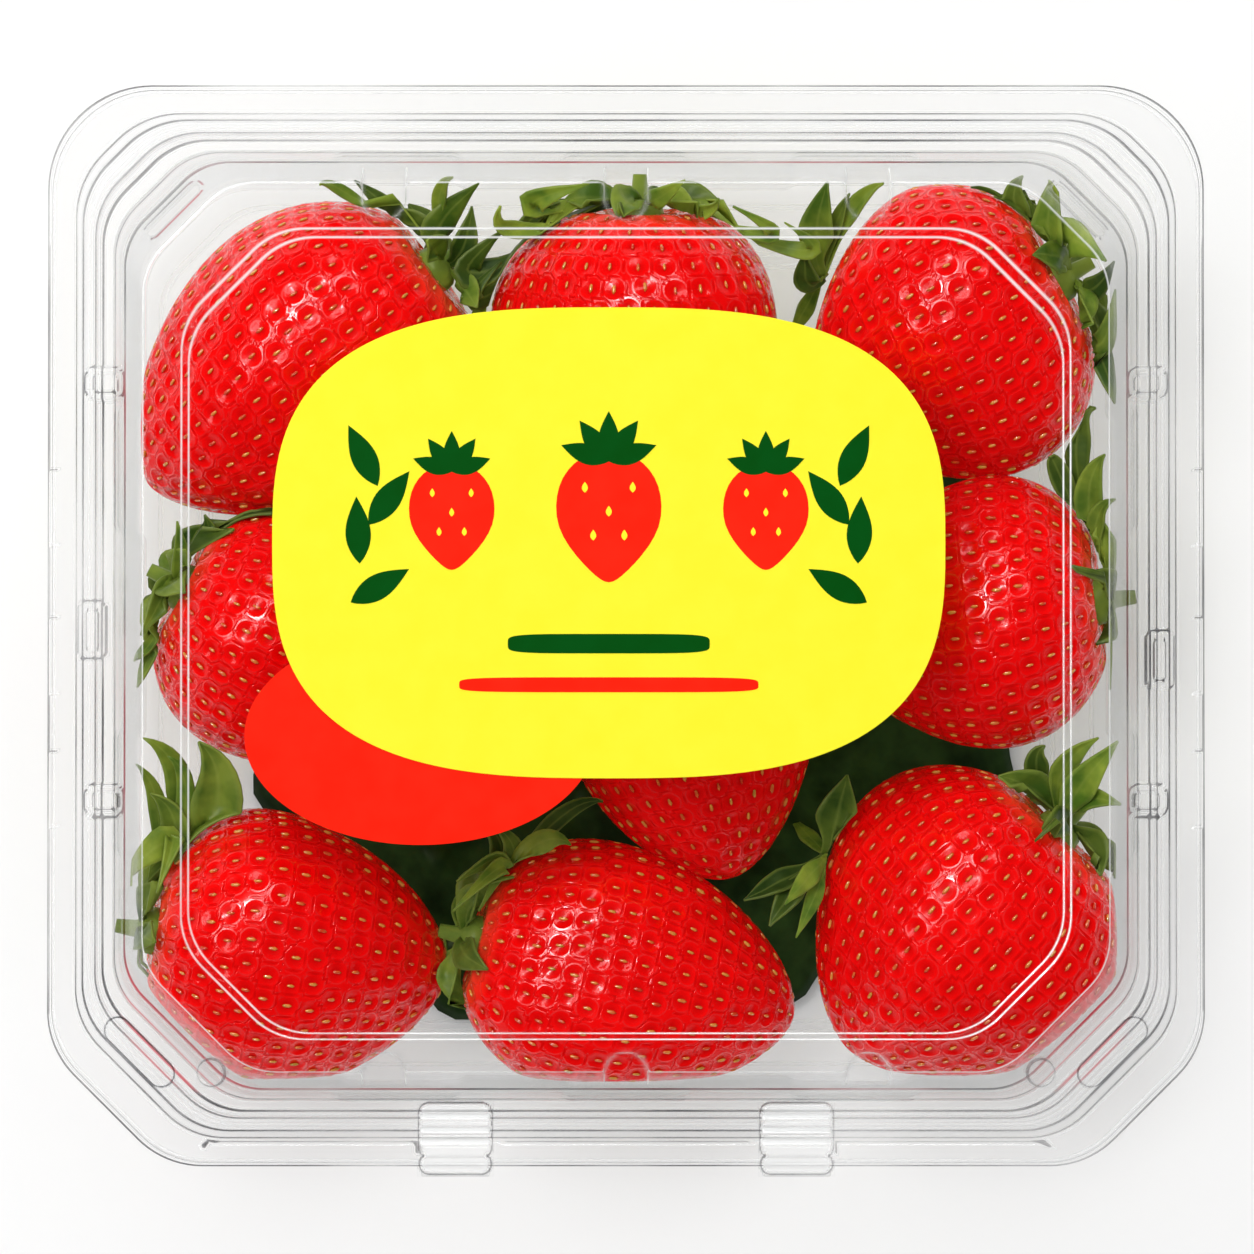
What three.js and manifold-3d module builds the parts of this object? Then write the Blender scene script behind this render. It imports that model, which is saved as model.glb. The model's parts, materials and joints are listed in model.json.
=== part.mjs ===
// A clear hinged punnet of strawberries: a tray, a lid that swings on the back edge,
// two stickers on the lid and one layer of berries in the tray.
// Millimetres, +Z up. X runs across the pack, the hinge is at +Y, the latches are at -Y.
// The origin is under the middle of the whole part, on the surface that it stands on.

import * as THREE from 'three';
import { mergeVertices } from 'three/addons/utils/BufferGeometryUtils.js';
import Module from 'manifold-3d';

const wasm = await Module();
wasm.setup();

// Film and gaps
const FILM = 0.5;
const GAP = 0.3;
const FILM_TOLERANCE = 0.03;
const HEAP_TOLERANCE = 0.2;

// Outline of the pack at three insets from the rim's edge: half width, reach to the back and
// to the front, corner cuts and the rounding of the cuts
const RIM = {
  inset: 0, x: 78.1, back: 73.7, front: 72.3,
  cutBack: 8.2, cutFront: 15.8, roundBack: 14, roundFront: 12.4,
};
const WALL = {
  inset: 10.5, x: 67.6, back: 63.2, front: 61.8,
  cutBack: 10.5, cutFront: 15, roundBack: 9, roundFront: 9,
};
const PANEL = {
  inset: 18.8, x: 59.4, back: 53.4, front: 54.9,
  cutBack: 12.5, cutFront: 12.5, roundBack: 10, roundFront: 10,
};
const ARC_STEPS = 3;

// Heights
const PARTING = 35;
const LID_FLANGE = 0.8;
const LID_BEAD = 2.6;
const DECK = 14;
const PANEL_TOP = 13.2;
const FLOOR_RAISE = 1.7;
const WALL_FOOT = 3;
const LIP = 3.2;

// Tray wall: panels that stand out a little between upright ribs
const SIDE_PANELS = [-22, 22];
const END_PANELS = [-31, 0, 31];
const PANEL_HALF = 9;
const PANEL_RAMP = 1.6;
const PANEL_SINK = -0.7;

// Tray floor: vent slots
const VENT_LENGTH = 14;
const VENT_WIDTH = 2.6;
const VENT_ROWS = [-24, 24];
const VENT_COLUMNS = [-33, 0, 33];

// Snap buttons on the lid's flange and the studs that they close over
const BUTTON = { width: 5.9, depth: 5.2, round: 2, top: 3.4, inset: 7.75 };
const BAR_BUTTON = { width: 4.3, depth: 8.4, round: 1.2, top: 3.2, inset: 6.05 };
const BUTTON_BACK_Y = 33.3;
const BUTTON_FRONT_Y = -23;
const BAR_LEFT_Y = 0;
const BAR_RIGHT_Y = -4;
const STUD = { play: 0.65, top: 2.1, round: 0.8 };

// Half-round flutes that stiffen the lid's wall
const FLUTE_X = [-32.5, 0, 32.5];
const FLUTE_RADIUS = 3.5;
const FLUTE_BACK_TIP = 54.4;
const FLUTE_FRONT_TIP = -56.2;
const FLUTE_FLOOR = 5;

// Latches on the front edge
const LATCH_X = [-23, 23];
const LATCH = { width: 10.4, back: -63.4, front: -71.4, top: 3.6, round: 1.6 };
const FOOT = { back: -70.2, front: -73.7, top: 2.6, round: 1.7 };
const TONGUE = { width: 9.2, thick: 1.1, drop: 6.5, round: 0.4 };

// Corner details of the lid
const CORNER_VENT = { x: 60.9, y: 56.4, length: 9.5, width: 1.8, low: 3, high: 11 };
const CORNER_PAD = { x: 65.6, y: -56.9, length: 12.4, width: 4.2, top: 2 };
const CORNER_NUB = { x: 55.8, y: -59.6, radius: 2.2, topRadius: 1.9, top: 8, sides: 10 };

// Stickers on the lid's panel
const STICKER = 0.2;
const STICKER_LIFT = 0.05;
const YELLOW = { x: -2.3, y: 11.4, width: 90, depth: 63, power: 2.9 };
const RED = { x: -27.5, y: -14.5, width: 47, depth: 29, power: 2 };
const STICKER_SIDES = 40;

// Berries: the middle of the calyx and the tip in plan, and the greatest width
const BERRIES = [
  { calyx: [-25, 50.5], tip: [-66, 21], width: 39.5 },
  { calyx: [1.9, 59], tip: [1.9, 15], width: 40 },
  { calyx: [60.5, 49], tip: [26.5, 31], width: 41 },
  { calyx: [-62, 7], tip: [-27.5, -11], width: 34.5 },
  { calyx: [66, 4.5], tip: [27, 0], width: 38 },
  { calyx: [4, 4.5], tip: [14.5, -33.5], width: 34 },
  { calyx: [-66, -40.5], tip: [-24.5, -46.5], width: 38.5 },
  { calyx: [-22, -41.5], tip: [23, -52.5], width: 35.5 },
  { calyx: [60, -26], tip: [30.5, -57], width: 43.5 },
];
const BERRY_BED = FLOOR_RAISE + GAP;
const BERRY_HALF_HEIGHT = 20;
const BERRY_SIDES = 12;
const BERRY_RINGS = 8;
const BERRY_LUMPS = { three: 0.025, two: 0.02 };
const SHOULDER_SHIFT = 0.74;
const FULLNESS = 0.56;
const TIP_HEIGHT = 0.36;
const HEAP_SEED = 55;
const HEAP_CORE = { x: 50, y: 44, top: 14, round: 12 };
const WALL_ROOM = 10.1;
const FOOT_ROOM = 11.8;
const FLOOR_ROOM = 13.9;
const TOP_ROOM = { inset: 20.5, z: 7.9 };

// Calyx leaves
const LEAVES = 6;
const LEAF = { length: 13, share: 0.72, width: 6.4, thick: 0.7, start: 1.5, fold: 0.35, sunk: 0.8 };
const LEAF_SPREAD = { length: [0.8, 1.15], width: [0.85, 1.15], curl: [-0.3, 0.25], wave: [-0.4, 0.4] };
const CAP = { radius: 4, topRadius: 3.2, height: 3, sunk: 1.4, sides: 9, stalk: 1, stalkLength: 4 };
const LEAF_STATIONS = [0, 0.35, 0.7, 1];
const LEAF_WIDTHS = [0.5, 1, 0.8, 0.14];

const TRAY_PROFILE = [
  { inset: 0.3, z: -LIP },
  { inset: 0.5, z: 0 },
  { inset: 4.6, z: 0 },
  { inset: 5.4, z: 1.5 },
  { inset: 6.0, z: 1.5 },
  { inset: 6.7, z: 0 },
  { inset: 9.1, z: 0 },
  { inset: 9.5, z: -2 },
  { inset: 9.8, z: -4, sink: PANEL_SINK },
  { inset: 11.4, z: FILM + WALL_FOOT - PARTING, sink: PANEL_SINK },
  { inset: 13.4, z: FILM - PARTING },
  { inset: 19, z: FILM - PARTING },
  { inset: 20.5, z: FLOOR_RAISE - PARTING },
];

const LID_PROFILE = [
  { inset: 0, z: LID_FLANGE },
  { inset: 3.9, z: LID_FLANGE },
  { inset: 4.8, z: LID_BEAD },
  { inset: 6.6, z: LID_BEAD },
  { inset: 7.4, z: LID_FLANGE },
  { inset: WALL.inset, z: LID_FLANGE },
  { inset: 12.9, z: DECK - 0.7 },
  { inset: 13.5, z: DECK },
  { inset: PANEL.inset, z: DECK },
  { inset: PANEL.inset + 0.9, z: PANEL_TOP },
];

// Repeatable random numbers between 0 and 1
function randomFrom(seed) {
  let state = seed;
  return () => {
    state = (state * 16807) % 2147483647;
    return state / 2147483647;
  };
}

function mix(a, b, share) {
  return a + (b - a) * share;
}

// The pack's outline at any inset, blended from the three given ones
function outlineAt(inset) {
  const [low, high] = inset <= WALL.inset ? [RIM, WALL] : [WALL, PANEL];
  const share = (inset - low.inset) / (high.inset - low.inset);
  const shape = {};
  for (const key of ['x', 'back', 'front', 'cutBack', 'cutFront', 'roundBack', 'roundFront']) {
    shape[key] = mix(low[key], high[key], share);
  }
  return shape;
}

// Four points where one panel leaves and joins its side again
function panelPoints(centre, from, along, sink) {
  const stops = [
    [-PANEL_HALF, 0],
    [-PANEL_HALF + PANEL_RAMP, sink],
    [PANEL_HALF - PANEL_RAMP, sink],
    [PANEL_HALF, 0],
  ];
  const inward = new THREE.Vector2(-along.y, along.x);
  return stops.map(([step, depth]) => from.clone()
    .addScaledVector(along, centre + step)
    .addScaledVector(inward, depth));
}

// A closed outline, anticlockwise: eight corners with rounded turns, and panels on the long sides
function outlinePoints(shape, panels, sink = 0) {
  const { x, back, front, cutBack, cutFront, roundBack, roundFront } = shape;
  const corners = [
    { at: [x, cutFront - front], round: roundFront, side: SIDE_PANELS },
    { at: [x, back - cutBack], round: roundBack },
    { at: [x - cutBack, back], round: roundBack, side: END_PANELS },
    { at: [cutBack - x, back], round: roundBack },
    { at: [-x, back - cutBack], round: roundBack, side: SIDE_PANELS },
    { at: [-x, cutFront - front], round: roundFront },
    { at: [cutFront - x, -front], round: roundFront, side: END_PANELS },
    { at: [x - cutFront, -front], round: roundFront },
  ];
  const spots = corners.map(({ at }) => new THREE.Vector2(...at));
  const points = [];
  corners.forEach(({ round, side }, i) => {
    const here = spots[i];
    const before = here.clone().sub(spots[(i + 7) % 8]).normalize();
    const after = spots[(i + 1) % 8].clone().sub(here).normalize();
    const reach = round * Math.tan(Math.PI / 8);
    const centre = here.clone()
      .addScaledVector(before, -reach)
      .add(new THREE.Vector2(-before.y, before.x).multiplyScalar(round));
    const first = Math.atan2(-before.x, before.y);
    for (let k = 0; k <= ARC_STEPS; k += 1) {
      const angle = first + (k / ARC_STEPS) * (Math.PI / 4);
      points.push(new THREE.Vector2(Math.cos(angle), Math.sin(angle)).multiplyScalar(round).add(centre));
    }
    if (panels && side) {
      const foot = after.clone().multiplyScalar(-after.dot(here)).add(here);
      for (const middle of side) {
        points.push(...panelPoints(middle, foot, after, sink));
      }
    }
  });
  return points;
}

function ringAt(inset, z, panels = false, sink = 0) {
  return outlinePoints(outlineAt(inset), panels, sink).map((p) => new THREE.Vector3(p.x, p.y, z + PARTING));
}

// A closed solid through rings of equal count, from its first pole to its last
function loft(firstPole, rings, lastPole) {
  const count = rings[0].length;
  const vertices = [firstPole, ...rings.flat(), lastPole];
  const last = vertices.length - 1;
  const triangles = [];
  for (let i = 0; i < count; i += 1) {
    const next = (i + 1) % count;
    triangles.push(0, 1 + i, 1 + next);
    for (let r = 0; r < rings.length - 1; r += 1) {
      const a = 1 + r * count;
      const b = a + count;
      triangles.push(a + i, b + i, b + next, a + i, b + next, a + next);
    }
    triangles.push(last, last - count + next, last - count + i);
  }
  return new wasm.Manifold(new wasm.Mesh({
    numProp: 3,
    vertProperties: Float32Array.from(vertices.flatMap((v) => [v.x, v.y, v.z])),
    triVerts: Uint32Array.from(triangles),
  }));
}

function middleOf(ring) {
  const sum = ring.reduce((total, v) => total.add(v), new THREE.Vector3());
  return new THREE.Vector3(0, sum.y / ring.length, sum.z / ring.length);
}

// The film's other face: every station moved square to the profile by the film's thickness
function backFace(profile) {
  return profile.map((station, i) => {
    const turn = (a, b) => new THREE.Vector2(a.z - b.z, b.inset - a.inset).normalize();
    const before = i > 0 ? turn(profile[i - 1], station) : turn(station, profile[1]);
    const after = i < profile.length - 1 ? turn(station, profile[i + 1]) : new THREE.Vector2(0, 1);
    const normal = before.clone().add(after).normalize();
    const reach = FILM / normal.dot(before);
    return { ...station, inset: station.inset - normal.x * reach, z: station.z - normal.y * reach };
  });
}

function ringsOf(profile, panels) {
  return profile.map(({ inset, z, sink }) => ringAt(Math.max(inset, 0), z, panels, sink ?? 0));
}

// A formed sheet of film that follows a profile from the rim's edge to a flat middle
function filmShell(profile, panels) {
  const face = ringsOf(profile, panels).reverse();
  const back = ringsOf(backFace(profile), panels);
  const rings = [...face, ...back];
  return loft(middleOf(face[0]), rings, middleOf(back[back.length - 1]));
}

// The space from a level up to a profile, used to trim what stands inside the film
function filledUnder(profile, level) {
  const face = ringsOf(profile, false).reverse();
  const base = ringAt(0, level);
  return loft(middleOf(face[0]), [...face, base], middleOf(base));
}

// A three.js geometry as a solid for cutting and joining
function solidOf(geometry) {
  geometry.deleteAttribute('normal');
  geometry.deleteAttribute('uv');
  const merged = mergeVertices(geometry, 1e-4);
  return new wasm.Manifold(new wasm.Mesh({
    numProp: 3,
    vertProperties: Float32Array.from(merged.attributes.position.array),
    triVerts: Uint32Array.from(merged.index.array),
  }));
}

// An upright block with rounded corners, from a low level to a high one
function block({ x, y, width, depth, round, low, high, turn = 0, steps = 2 }) {
  const w = width / 2;
  const d = depth / 2;
  const r = Math.min(round, w, d) * 0.999;
  const shape = new THREE.Shape();
  shape.absarc(w - r, d - r, r, 0, Math.PI / 2);
  shape.absarc(r - w, d - r, r, Math.PI / 2, Math.PI);
  shape.absarc(r - w, r - d, r, Math.PI, 1.5 * Math.PI);
  shape.absarc(w - r, r - d, r, 1.5 * Math.PI, 2 * Math.PI);
  const geometry = new THREE.ExtrudeGeometry(shape, {
    depth: high - low,
    bevelEnabled: false,
    curveSegments: steps,
  });
  geometry.rotateZ(turn);
  geometry.translate(x, y, low + PARTING);
  return solidOf(geometry);
}

// The lid's flange raised over an area as a hollow button
function raise(lid, under, area) {
  const inside = {
    ...area,
    width: area.width - 2 * FILM,
    depth: area.depth - 2 * FILM,
    round: area.round - FILM,
  };
  const outer = block({ ...area, low: GAP, high: area.top }).subtract(under);
  const inner = block({ ...inside, low: GAP - 1, high: area.top - FILM });
  return lid.add(outer).subtract(inner);
}

// The lid's wall pushed in as a half-round flute, from the deck down to the flute's floor
function flute(lid, body, x, tip) {
  const side = Math.sign(tip);
  const edge = side > 0 ? WALL.back : WALL.front;
  const prism = (grow) => block({
    x,
    y: side * (Math.abs(tip) - grow + edge + 4) / 2,
    width: 2 * (FLUTE_RADIUS + grow),
    depth: edge + 4 - Math.abs(tip) + grow,
    round: FLUTE_RADIUS + grow,
    low: FLUTE_FLOOR - grow,
    high: DECK + 1,
    steps: 3,
  });
  const inner = prism(0);
  const skin = prism(FILM).subtract(inner).intersect(body);
  return lid.subtract(inner).add(skin);
}

function buttonPlaces() {
  const placeOf = ({ inset, width, depth, round, top }, side, y) => {
    return { x: side * (RIM.x - inset), y, width, depth, round, top };
  };
  return [-1, 1].flatMap((side) => [
    placeOf(BUTTON, side, BUTTON_BACK_Y),
    placeOf(BUTTON, side, BUTTON_FRONT_Y),
    placeOf(BAR_BUTTON, side, side < 0 ? BAR_LEFT_Y : BAR_RIGHT_Y),
  ]);
}

// A latch: a hollow boss on the flange, a rounded foot over the edge and a tongue down the front
function addLatch(lid, under, x) {
  const boss = {
    x,
    y: (LATCH.back + LATCH.front) / 2,
    width: LATCH.width,
    depth: LATCH.back - LATCH.front,
    round: LATCH.round,
    top: LATCH.top,
  };
  const foot = block({
    x,
    y: (FOOT.back + FOOT.front) / 2,
    width: LATCH.width,
    depth: FOOT.back - FOOT.front,
    round: FOOT.round,
    low: GAP,
    high: FOOT.top,
  });
  const tongue = block({
    x,
    y: FOOT.front + TONGUE.thick / 2,
    width: TONGUE.width,
    depth: TONGUE.thick,
    round: TONGUE.round,
    low: -TONGUE.drop,
    high: LID_FLANGE - FILM / 2,
  });
  return raise(lid, under, boss).add(foot.subtract(under)).add(tongue);
}

function cornerVent(side) {
  const { x, y, length, width, low, high } = CORNER_VENT;
  return block({
    x: side * x,
    y,
    width: length,
    depth: width,
    round: width / 2,
    low,
    high,
    turn: -side * Math.PI / 4,
  });
}

function cornerPad(side) {
  const { x, y, length, width, top } = CORNER_PAD;
  return block({
    x: side * x,
    y,
    width: length,
    depth: width,
    round: width / 2,
    low: GAP + FILM / 2,
    high: top,
    turn: side * Math.PI / 4,
  });
}

function cornerNub(side) {
  const { x, y, radius, topRadius, top, sides } = CORNER_NUB;
  const cylinder = new THREE.CylinderGeometry(topRadius, radius, top - LID_FLANGE + FILM, sides);
  cylinder.rotateX(Math.PI / 2);
  cylinder.translate(side * x, y, PARTING + (top + LID_FLANGE - FILM) / 2);
  return solidOf(cylinder);
}

function lidSolid() {
  const body = filledUnder(LID_PROFILE, GAP);
  const under = filledUnder(backFace(LID_PROFILE), -1);
  let lid = filmShell(LID_PROFILE, false);
  for (const x of FLUTE_X) {
    lid = flute(lid, body, x, FLUTE_BACK_TIP);
    lid = flute(lid, body, x, FLUTE_FRONT_TIP);
  }
  for (const side of [-1, 1]) {
    const trim = cornerPad(side).add(cornerNub(side)).subtract(under);
    lid = lid.add(trim).subtract(cornerVent(side));
  }
  for (const place of buttonPlaces()) {
    lid = raise(lid, under, place);
  }
  for (const x of LATCH_X) {
    lid = addLatch(lid, under, x);
  }
  return mainBody(lid, FILM_TOLERANCE);
}

function traySolid() {
  let tray = filmShell(TRAY_PROFILE, true);
  for (const place of buttonPlaces()) {
    tray = tray.add(block({
      ...place,
      width: place.width - 2 * (FILM + STUD.play),
      depth: place.depth - 2 * (FILM + STUD.play),
      round: STUD.round,
      low: -FILM / 2,
      high: STUD.top,
    }));
  }
  for (const x of VENT_COLUMNS) {
    for (const y of VENT_ROWS) {
      tray = tray.subtract(block({
        x,
        y,
        width: VENT_LENGTH,
        depth: VENT_WIDTH,
        round: VENT_WIDTH / 2,
        low: -PARTING,
        high: FLOOR_RAISE + 1 - PARTING,
      }));
    }
  }
  return mainBody(tray, FILM_TOLERANCE);
}

// The outer skin of the biggest piece: loose scraps go, and a hollow that joining sealed is filled
function mainBody(solid, tolerance) {
  const { vertProperties, triVerts } = solid.asOriginal().simplify(tolerance).getMesh();
  const group = Array.from({ length: vertProperties.length / 3 }, (_, i) => i);
  const rootOf = (i) => {
    let at = i;
    while (group[at] !== at) {
      group[at] = group[group[at]];
      at = group[at];
    }
    return at;
  };
  const triangles = [];
  for (let t = 0; t < triVerts.length; t += 3) {
    const corners = [triVerts[t], triVerts[t + 1], triVerts[t + 2]];
    triangles.push(corners);
    group[rootOf(corners[1])] = rootOf(corners[0]);
    group[rootOf(corners[2])] = rootOf(corners[0]);
  }
  const vertex = (i) => new THREE.Vector3(...vertProperties.slice(3 * i, 3 * i + 3));
  const volumes = new Map();
  for (const [a, b, c] of triangles) {
    const root = rootOf(a);
    const wedge = vertex(a).dot(vertex(b).cross(vertex(c)));
    volumes.set(root, (volumes.get(root) ?? 0) + wedge);
  }
  const main = [...volumes].reduce((best, entry) => (entry[1] > best[1] ? entry : best))[0];
  return new wasm.Manifold(new wasm.Mesh({
    numProp: 3,
    vertProperties,
    triVerts: Uint32Array.from(triangles.filter(([a]) => rootOf(a) === main).flat()),
  }));
}

// Three square directions along a line: along it, level across it and over it
function frameAlong(from, to) {
  const along = to.clone().sub(from).normalize();
  const across = new THREE.Vector3(0, 0, 1).cross(along).normalize();
  const over = along.clone().cross(across);
  return { along, across, over };
}

// A berry's radius from its calyx (0) to its tip (1), for a greatest radius of 1
function berryRadius(share) {
  return Math.sin(Math.PI * share ** SHOULDER_SHIFT) ** FULLNESS;
}

function berryEnds({ calyx, tip, width }) {
  const radius = width / 2;
  const rise = Math.min(radius, BERRY_HALF_HEIGHT);
  return {
    from: new THREE.Vector3(...calyx, BERRY_BED + rise),
    to: new THREE.Vector3(...tip, BERRY_BED + width * TIP_HEIGHT),
    radius,
    flat: rise / radius,
  };
}

function berrySolid(berry, random) {
  const { from, to, radius, flat } = berryEnds(berry);
  const { along, across, over } = frameAlong(from, to);
  const phase = random() * Math.PI * 2;
  const rings = [];
  for (let r = 0; r < BERRY_RINGS; r += 1) {
    const share = 0.5 - 0.5 * Math.cos(((r + 0.55) / (BERRY_RINGS + 0.1)) * Math.PI);
    const size = radius * berryRadius(share);
    const centre = from.clone().lerp(to, share);
    const ring = [];
    for (let k = 0; k < BERRY_SIDES; k += 1) {
      const angle = (k / BERRY_SIDES) * Math.PI * 2;
      const lump = 1 + BERRY_LUMPS.three * Math.cos(3 * angle + phase)
        + BERRY_LUMPS.two * Math.cos(2 * angle - phase);
      ring.push(centre.clone()
        .addScaledVector(across, Math.cos(angle) * size * lump)
        .addScaledVector(over, Math.sin(angle) * size * lump * flat));
    }
    rings.push(ring);
  }
  return loft(to, rings.reverse(), from.clone().addScaledVector(along, 0.5));
}

// One thin wavy calyx leaf that runs out from the stalk end and curls over the shoulder
function leafSolid(root, out, back, { length, width, curl, wave }) {
  const side = out.clone().cross(back).normalize();
  const rings = LEAF_STATIONS.map((share, i) => {
    const reach = LEAF.start + share * length;
    const rise = curl * share * share * length + wave * Math.sin(share * 5);
    const middle = root.clone().addScaledVector(out, reach).addScaledVector(back, rise);
    const half = (width / 2) * LEAF_WIDTHS[i];
    const fold = half * LEAF.fold;
    const top = [[-half, fold], [0, 0], [half, fold]];
    const faces = [
      ...top.map(([s, b]) => [s, b + LEAF.thick / 2]),
      ...top.reverse().map(([s, b]) => [s, b - LEAF.thick / 2]),
    ];
    return faces.map(([s, b]) => middle.clone().addScaledVector(side, s).addScaledVector(back, b));
  });
  const centreOf = (ring) => {
    const sum = ring.reduce((total, v) => total.add(v), new THREE.Vector3());
    return sum.divideScalar(ring.length);
  };
  const tipToRoot = rings.reverse();
  return loft(centreOf(tipToRoot[0]), tipToRoot, centreOf(tipToRoot[tipToRoot.length - 1]));
}

// The round middle of the calyx, with the stub of the stalk
function calyxCap(root, along) {
  const cap = new THREE.CylinderGeometry(CAP.topRadius, CAP.radius, CAP.height, CAP.sides);
  const stalk = new THREE.CylinderGeometry(CAP.stalk, CAP.stalk, CAP.stalkLength, CAP.sides - 1);
  const turn = new THREE.Quaternion().setFromUnitVectors(new THREE.Vector3(0, 1, 0), along.clone().negate());
  const place = (geometry, lift) => {
    geometry.applyQuaternion(turn);
    geometry.translate(...root.clone().addScaledVector(along, -lift).toArray());
    return solidOf(geometry);
  };
  return place(cap, CAP.height / 2 - CAP.sunk).add(place(stalk, CAP.stalkLength / 2));
}

function calyxSolids(berry, random) {
  const { from, to, radius } = berryEnds(berry);
  const { along, across, over } = frameAlong(from, to);
  const root = from.clone().addScaledVector(along, LEAF.sunk);
  const leaves = [calyxCap(root, along)];
  for (let k = 0; k < LEAVES; k += 1) {
    const angle = ((k + 0.5 * random()) / LEAVES) * Math.PI * 2;
    const out = across.clone().multiplyScalar(Math.cos(angle)).addScaledVector(over, Math.sin(angle));
    leaves.push(leafSolid(root, out, along.clone().negate(), {
      length: Math.min(LEAF.length, radius * LEAF.share) * mix(...LEAF_SPREAD.length, random()),
      width: LEAF.width * mix(...LEAF_SPREAD.width, random()),
      curl: mix(...LEAF_SPREAD.curl, random()),
      wave: mix(...LEAF_SPREAD.wave, random()),
    }));
  }
  return leaves;
}

// The room in the tray that the heap may fill, a little clear of the film
function heapRoom() {
  const rings = [
    ringAt(TOP_ROOM.inset, TOP_ROOM.z),
    ringAt(TOP_ROOM.inset, FLUTE_FLOOR - FILM - GAP),
    ringAt(FLOOR_ROOM, FLUTE_FLOOR - FILM - GAP),
    ringAt(WALL_ROOM, 1),
    ringAt(WALL_ROOM, -4),
    ringAt(FOOT_ROOM, FILM + WALL_FOOT - PARTING),
    ringAt(FLOOR_ROOM, BERRY_BED - PARTING),
  ];
  return loft(middleOf(rings[0]), rings, middleOf(rings[rings.length - 1]));
}

// All berries and leaves in one solid, joined low down by a core
function heapSolid() {
  const random = randomFrom(HEAP_SEED);
  const { x, y, top, round } = HEAP_CORE;
  let heap = block({
    x: 0,
    y: 0,
    width: 2 * x,
    depth: 2 * y,
    round,
    low: BERRY_BED - PARTING,
    high: top - PARTING,
  });
  for (const berry of BERRIES) {
    heap = heap.add(berrySolid(berry, random));
    for (const leaf of calyxSolids(berry, random)) {
      heap = heap.add(leaf);
    }
  }
  return mainBody(heap.intersect(heapRoom()), HEAP_TOLERANCE);
}

// A flat sticker with a soft squared-oval outline
function stickerSolid({ x, y, width, depth, power }, grow = 0) {
  const round = (value) => Math.sign(value) * Math.abs(value) ** (2 / power);
  const points = [];
  for (let k = 0; k < STICKER_SIDES; k += 1) {
    const angle = (k / STICKER_SIDES) * Math.PI * 2;
    points.push(new THREE.Vector2(
      x + (width / 2 + grow) * round(Math.cos(angle)),
      y + (depth / 2 + grow) * round(Math.sin(angle)),
    ));
  }
  const geometry = new THREE.ExtrudeGeometry(new THREE.Shape(points), {
    depth: STICKER + grow,
    bevelEnabled: false,
  });
  geometry.translate(0, 0, PARTING + PANEL_TOP + STICKER_LIFT - grow / 2);
  return solidOf(geometry);
}

function meshOf(name, solid, colour, roughness, opacity = 1) {
  const { vertProperties, triVerts } = solid.getMesh();
  const geometry = new THREE.BufferGeometry();
  geometry.setAttribute('position', new THREE.BufferAttribute(Float32Array.from(vertProperties), 3));
  geometry.setIndex(Array.from(triVerts));
  geometry.computeVertexNormals();
  const material = new THREE.MeshStandardMaterial({
    color: colour,
    roughness,
    metalness: 0,
    transparent: opacity < 1,
    opacity,
  });
  const mesh = new THREE.Mesh(geometry, material);
  mesh.name = name;
  return mesh;
}

const CLEAR = 0xf2f6f6;
const yellow = stickerSolid(YELLOW);
const red = stickerSolid(RED).subtract(stickerSolid(YELLOW, GAP));

const pack = new THREE.Group();
pack.add(meshOf('tray', traySolid(), CLEAR, 0.08, 0.25));
pack.add(meshOf('lid', lidSolid(), CLEAR, 0.08, 0.25));
pack.add(meshOf('berries', heapSolid(), 0xd3121a, 0.3));
pack.add(meshOf('label_yellow', yellow, 0xfff01a, 0.4));
pack.add(meshOf('label_red', red, 0xf9321c, 0.4));

export default pack;
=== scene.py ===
"""A clear punnet of strawberries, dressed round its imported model: film, stickers, berries and leaves."""
import json
import math

import bpy
import numpy as np
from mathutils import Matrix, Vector


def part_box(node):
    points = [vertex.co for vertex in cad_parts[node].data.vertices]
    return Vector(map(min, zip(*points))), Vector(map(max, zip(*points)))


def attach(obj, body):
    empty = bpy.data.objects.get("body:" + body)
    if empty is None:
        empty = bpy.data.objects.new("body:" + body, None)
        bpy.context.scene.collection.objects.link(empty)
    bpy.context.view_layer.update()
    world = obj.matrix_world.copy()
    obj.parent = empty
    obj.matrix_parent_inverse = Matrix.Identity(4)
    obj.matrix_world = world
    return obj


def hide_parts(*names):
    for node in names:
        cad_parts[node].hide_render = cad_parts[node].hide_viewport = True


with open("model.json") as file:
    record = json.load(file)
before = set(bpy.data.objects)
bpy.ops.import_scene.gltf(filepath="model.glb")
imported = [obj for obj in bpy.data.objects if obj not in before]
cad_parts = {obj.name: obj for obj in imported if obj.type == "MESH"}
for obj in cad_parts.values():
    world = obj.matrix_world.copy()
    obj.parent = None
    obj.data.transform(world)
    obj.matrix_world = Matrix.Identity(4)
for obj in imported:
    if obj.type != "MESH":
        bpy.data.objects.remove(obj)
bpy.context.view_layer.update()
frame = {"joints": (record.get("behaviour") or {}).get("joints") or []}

MM = 0.001
TRAY = "tray"
LID = "lid"

# Heights and gaps, read from the frame
GAP = 0.3 * MM
FILM = 0.5 * MM
PARTING = frame["joints"][0]["pos_m"][2] - GAP / 2
LID_LOW, LID_HIGH = (np.array(corner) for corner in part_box("lid"))
HEAP_LOW, HEAP_HIGH = (np.array(corner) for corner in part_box("berries"))
YELLOW_LOW, YELLOW_HIGH = (np.array(corner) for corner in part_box("label_yellow"))
RED_LOW = np.array(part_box("label_red")[0])
HALF_WIDTH = LID_HIGH[0]
BACK_EDGE = LID_HIGH[1]
FOOT_FRONT = LID_LOW[1]
BED = HEAP_LOW[2]


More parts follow.
